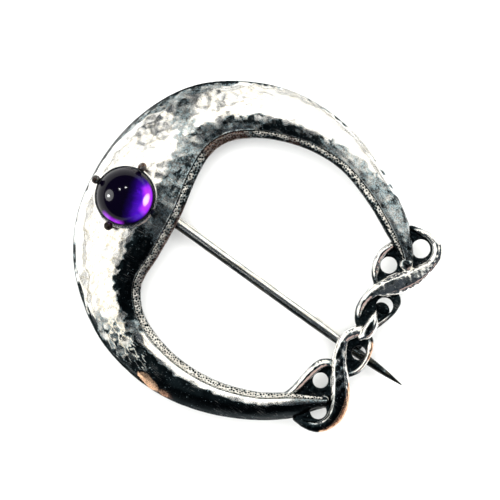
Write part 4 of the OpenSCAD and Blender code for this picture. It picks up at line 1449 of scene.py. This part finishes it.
def add_sky(scene):
    """Dim bluish light from all round, which the dark silver mirrors."""
    world = bpy.data.worlds.new("studio")
    world.use_nodes = True
    world.node_tree.nodes["Background"].inputs["Color"].default_value = SKY
    world.node_tree.nodes["Background"].inputs["Strength"].default_value = 1.0
    scene.world = world
    scene.view_settings.view_transform = "Standard"


def add_camera(scene):
    """The camera straight above, turned as the photograph was."""
    camera = bpy.data.cameras.new("camera")
    camera.sensor_width = SENSOR_WIDTH
    camera.lens = SENSOR_WIDTH * CAMERA_AWAY * PHOTO_PIXELS_PER_MM / PHOTO_PIXELS
    camera.clip_start, camera.clip_end = 0.01, 10.0
    eye = bpy.data.objects.new("camera", camera)
    x, y, _ = placed([[*PHOTO_CENTRE, 0.0]])[0]
    eye.location = (x, y, (CAMERA_AWAY + CAMERA_PLANE) * MM)
    eye.rotation_euler = (0.0, 0.0, PHOTO_ROLL)
    scene.collection.objects.link(eye)
    scene.camera = eye


class BROOCH_OT_stage(bpy.types.Operator):
    """Pale floor, soft studio lights and the camera above"""

    bl_idname = "brooch.stage"
    bl_label = "Stage"

    def execute(self, context):
        scene = context.scene
        add_floor(scene)
        for name, (*placing, reach) in LIGHTS.items():
            lamp = add_light(scene, name, *placing)
            if reach:
                aim(lamp, bpy.data.objects["amethyst_cabochon"], reach)
        add_sky(scene)
        add_camera(scene)
        return {"FINISHED"}


class BROOCH_PT_panel(bpy.types.Panel):
    """Buttons for each group of pieces"""

    bl_label = "Brooch"
    bl_idname = "BROOCH_PT_panel"
    bl_space_type = "VIEW_3D"
    bl_region_type = "UI"
    bl_category = "Brooch"

    def draw(self, context):
        for group in (context.scene.brooch_sizes, context.scene.brooch_colours):
            box = self.layout.box()
            for name in group.__annotations__:
                box.prop(group, name)
        for operator in OPERATORS:
            self.layout.operator(operator.bl_idname)


OPERATORS = (
    BROOCH_OT_crescent,
    BROOCH_OT_punched_band,
    BROOCH_OT_knot,
    BROOCH_OT_setting,
    BROOCH_OT_amethyst,
    BROOCH_OT_pin,
    BROOCH_OT_fittings,
    BROOCH_OT_stage,
)
CLASSES = (BroochSizes, BroochColours, *OPERATORS, BROOCH_PT_panel)


def register():
    for each in CLASSES:
        bpy.utils.register_class(each)
    bpy.types.Scene.brooch_sizes = bpy.props.PointerProperty(type=BroochSizes)
    bpy.types.Scene.brooch_colours = bpy.props.PointerProperty(type=BroochColours)


def unregister():
    del bpy.types.Scene.brooch_colours
    del bpy.types.Scene.brooch_sizes
    for each in reversed(CLASSES):
        bpy.utils.unregister_class(each)


def main():
    """Build every piece and the stage."""
    register()
    bpy.ops.brooch.crescent()
    bpy.ops.brooch.punched_band()
    bpy.ops.brooch.knot()
    bpy.ops.brooch.setting()
    bpy.ops.brooch.amethyst()
    bpy.ops.brooch.pin()
    bpy.ops.brooch.fittings()
    bpy.ops.brooch.stage()


if __name__ == "__main__":
    main()
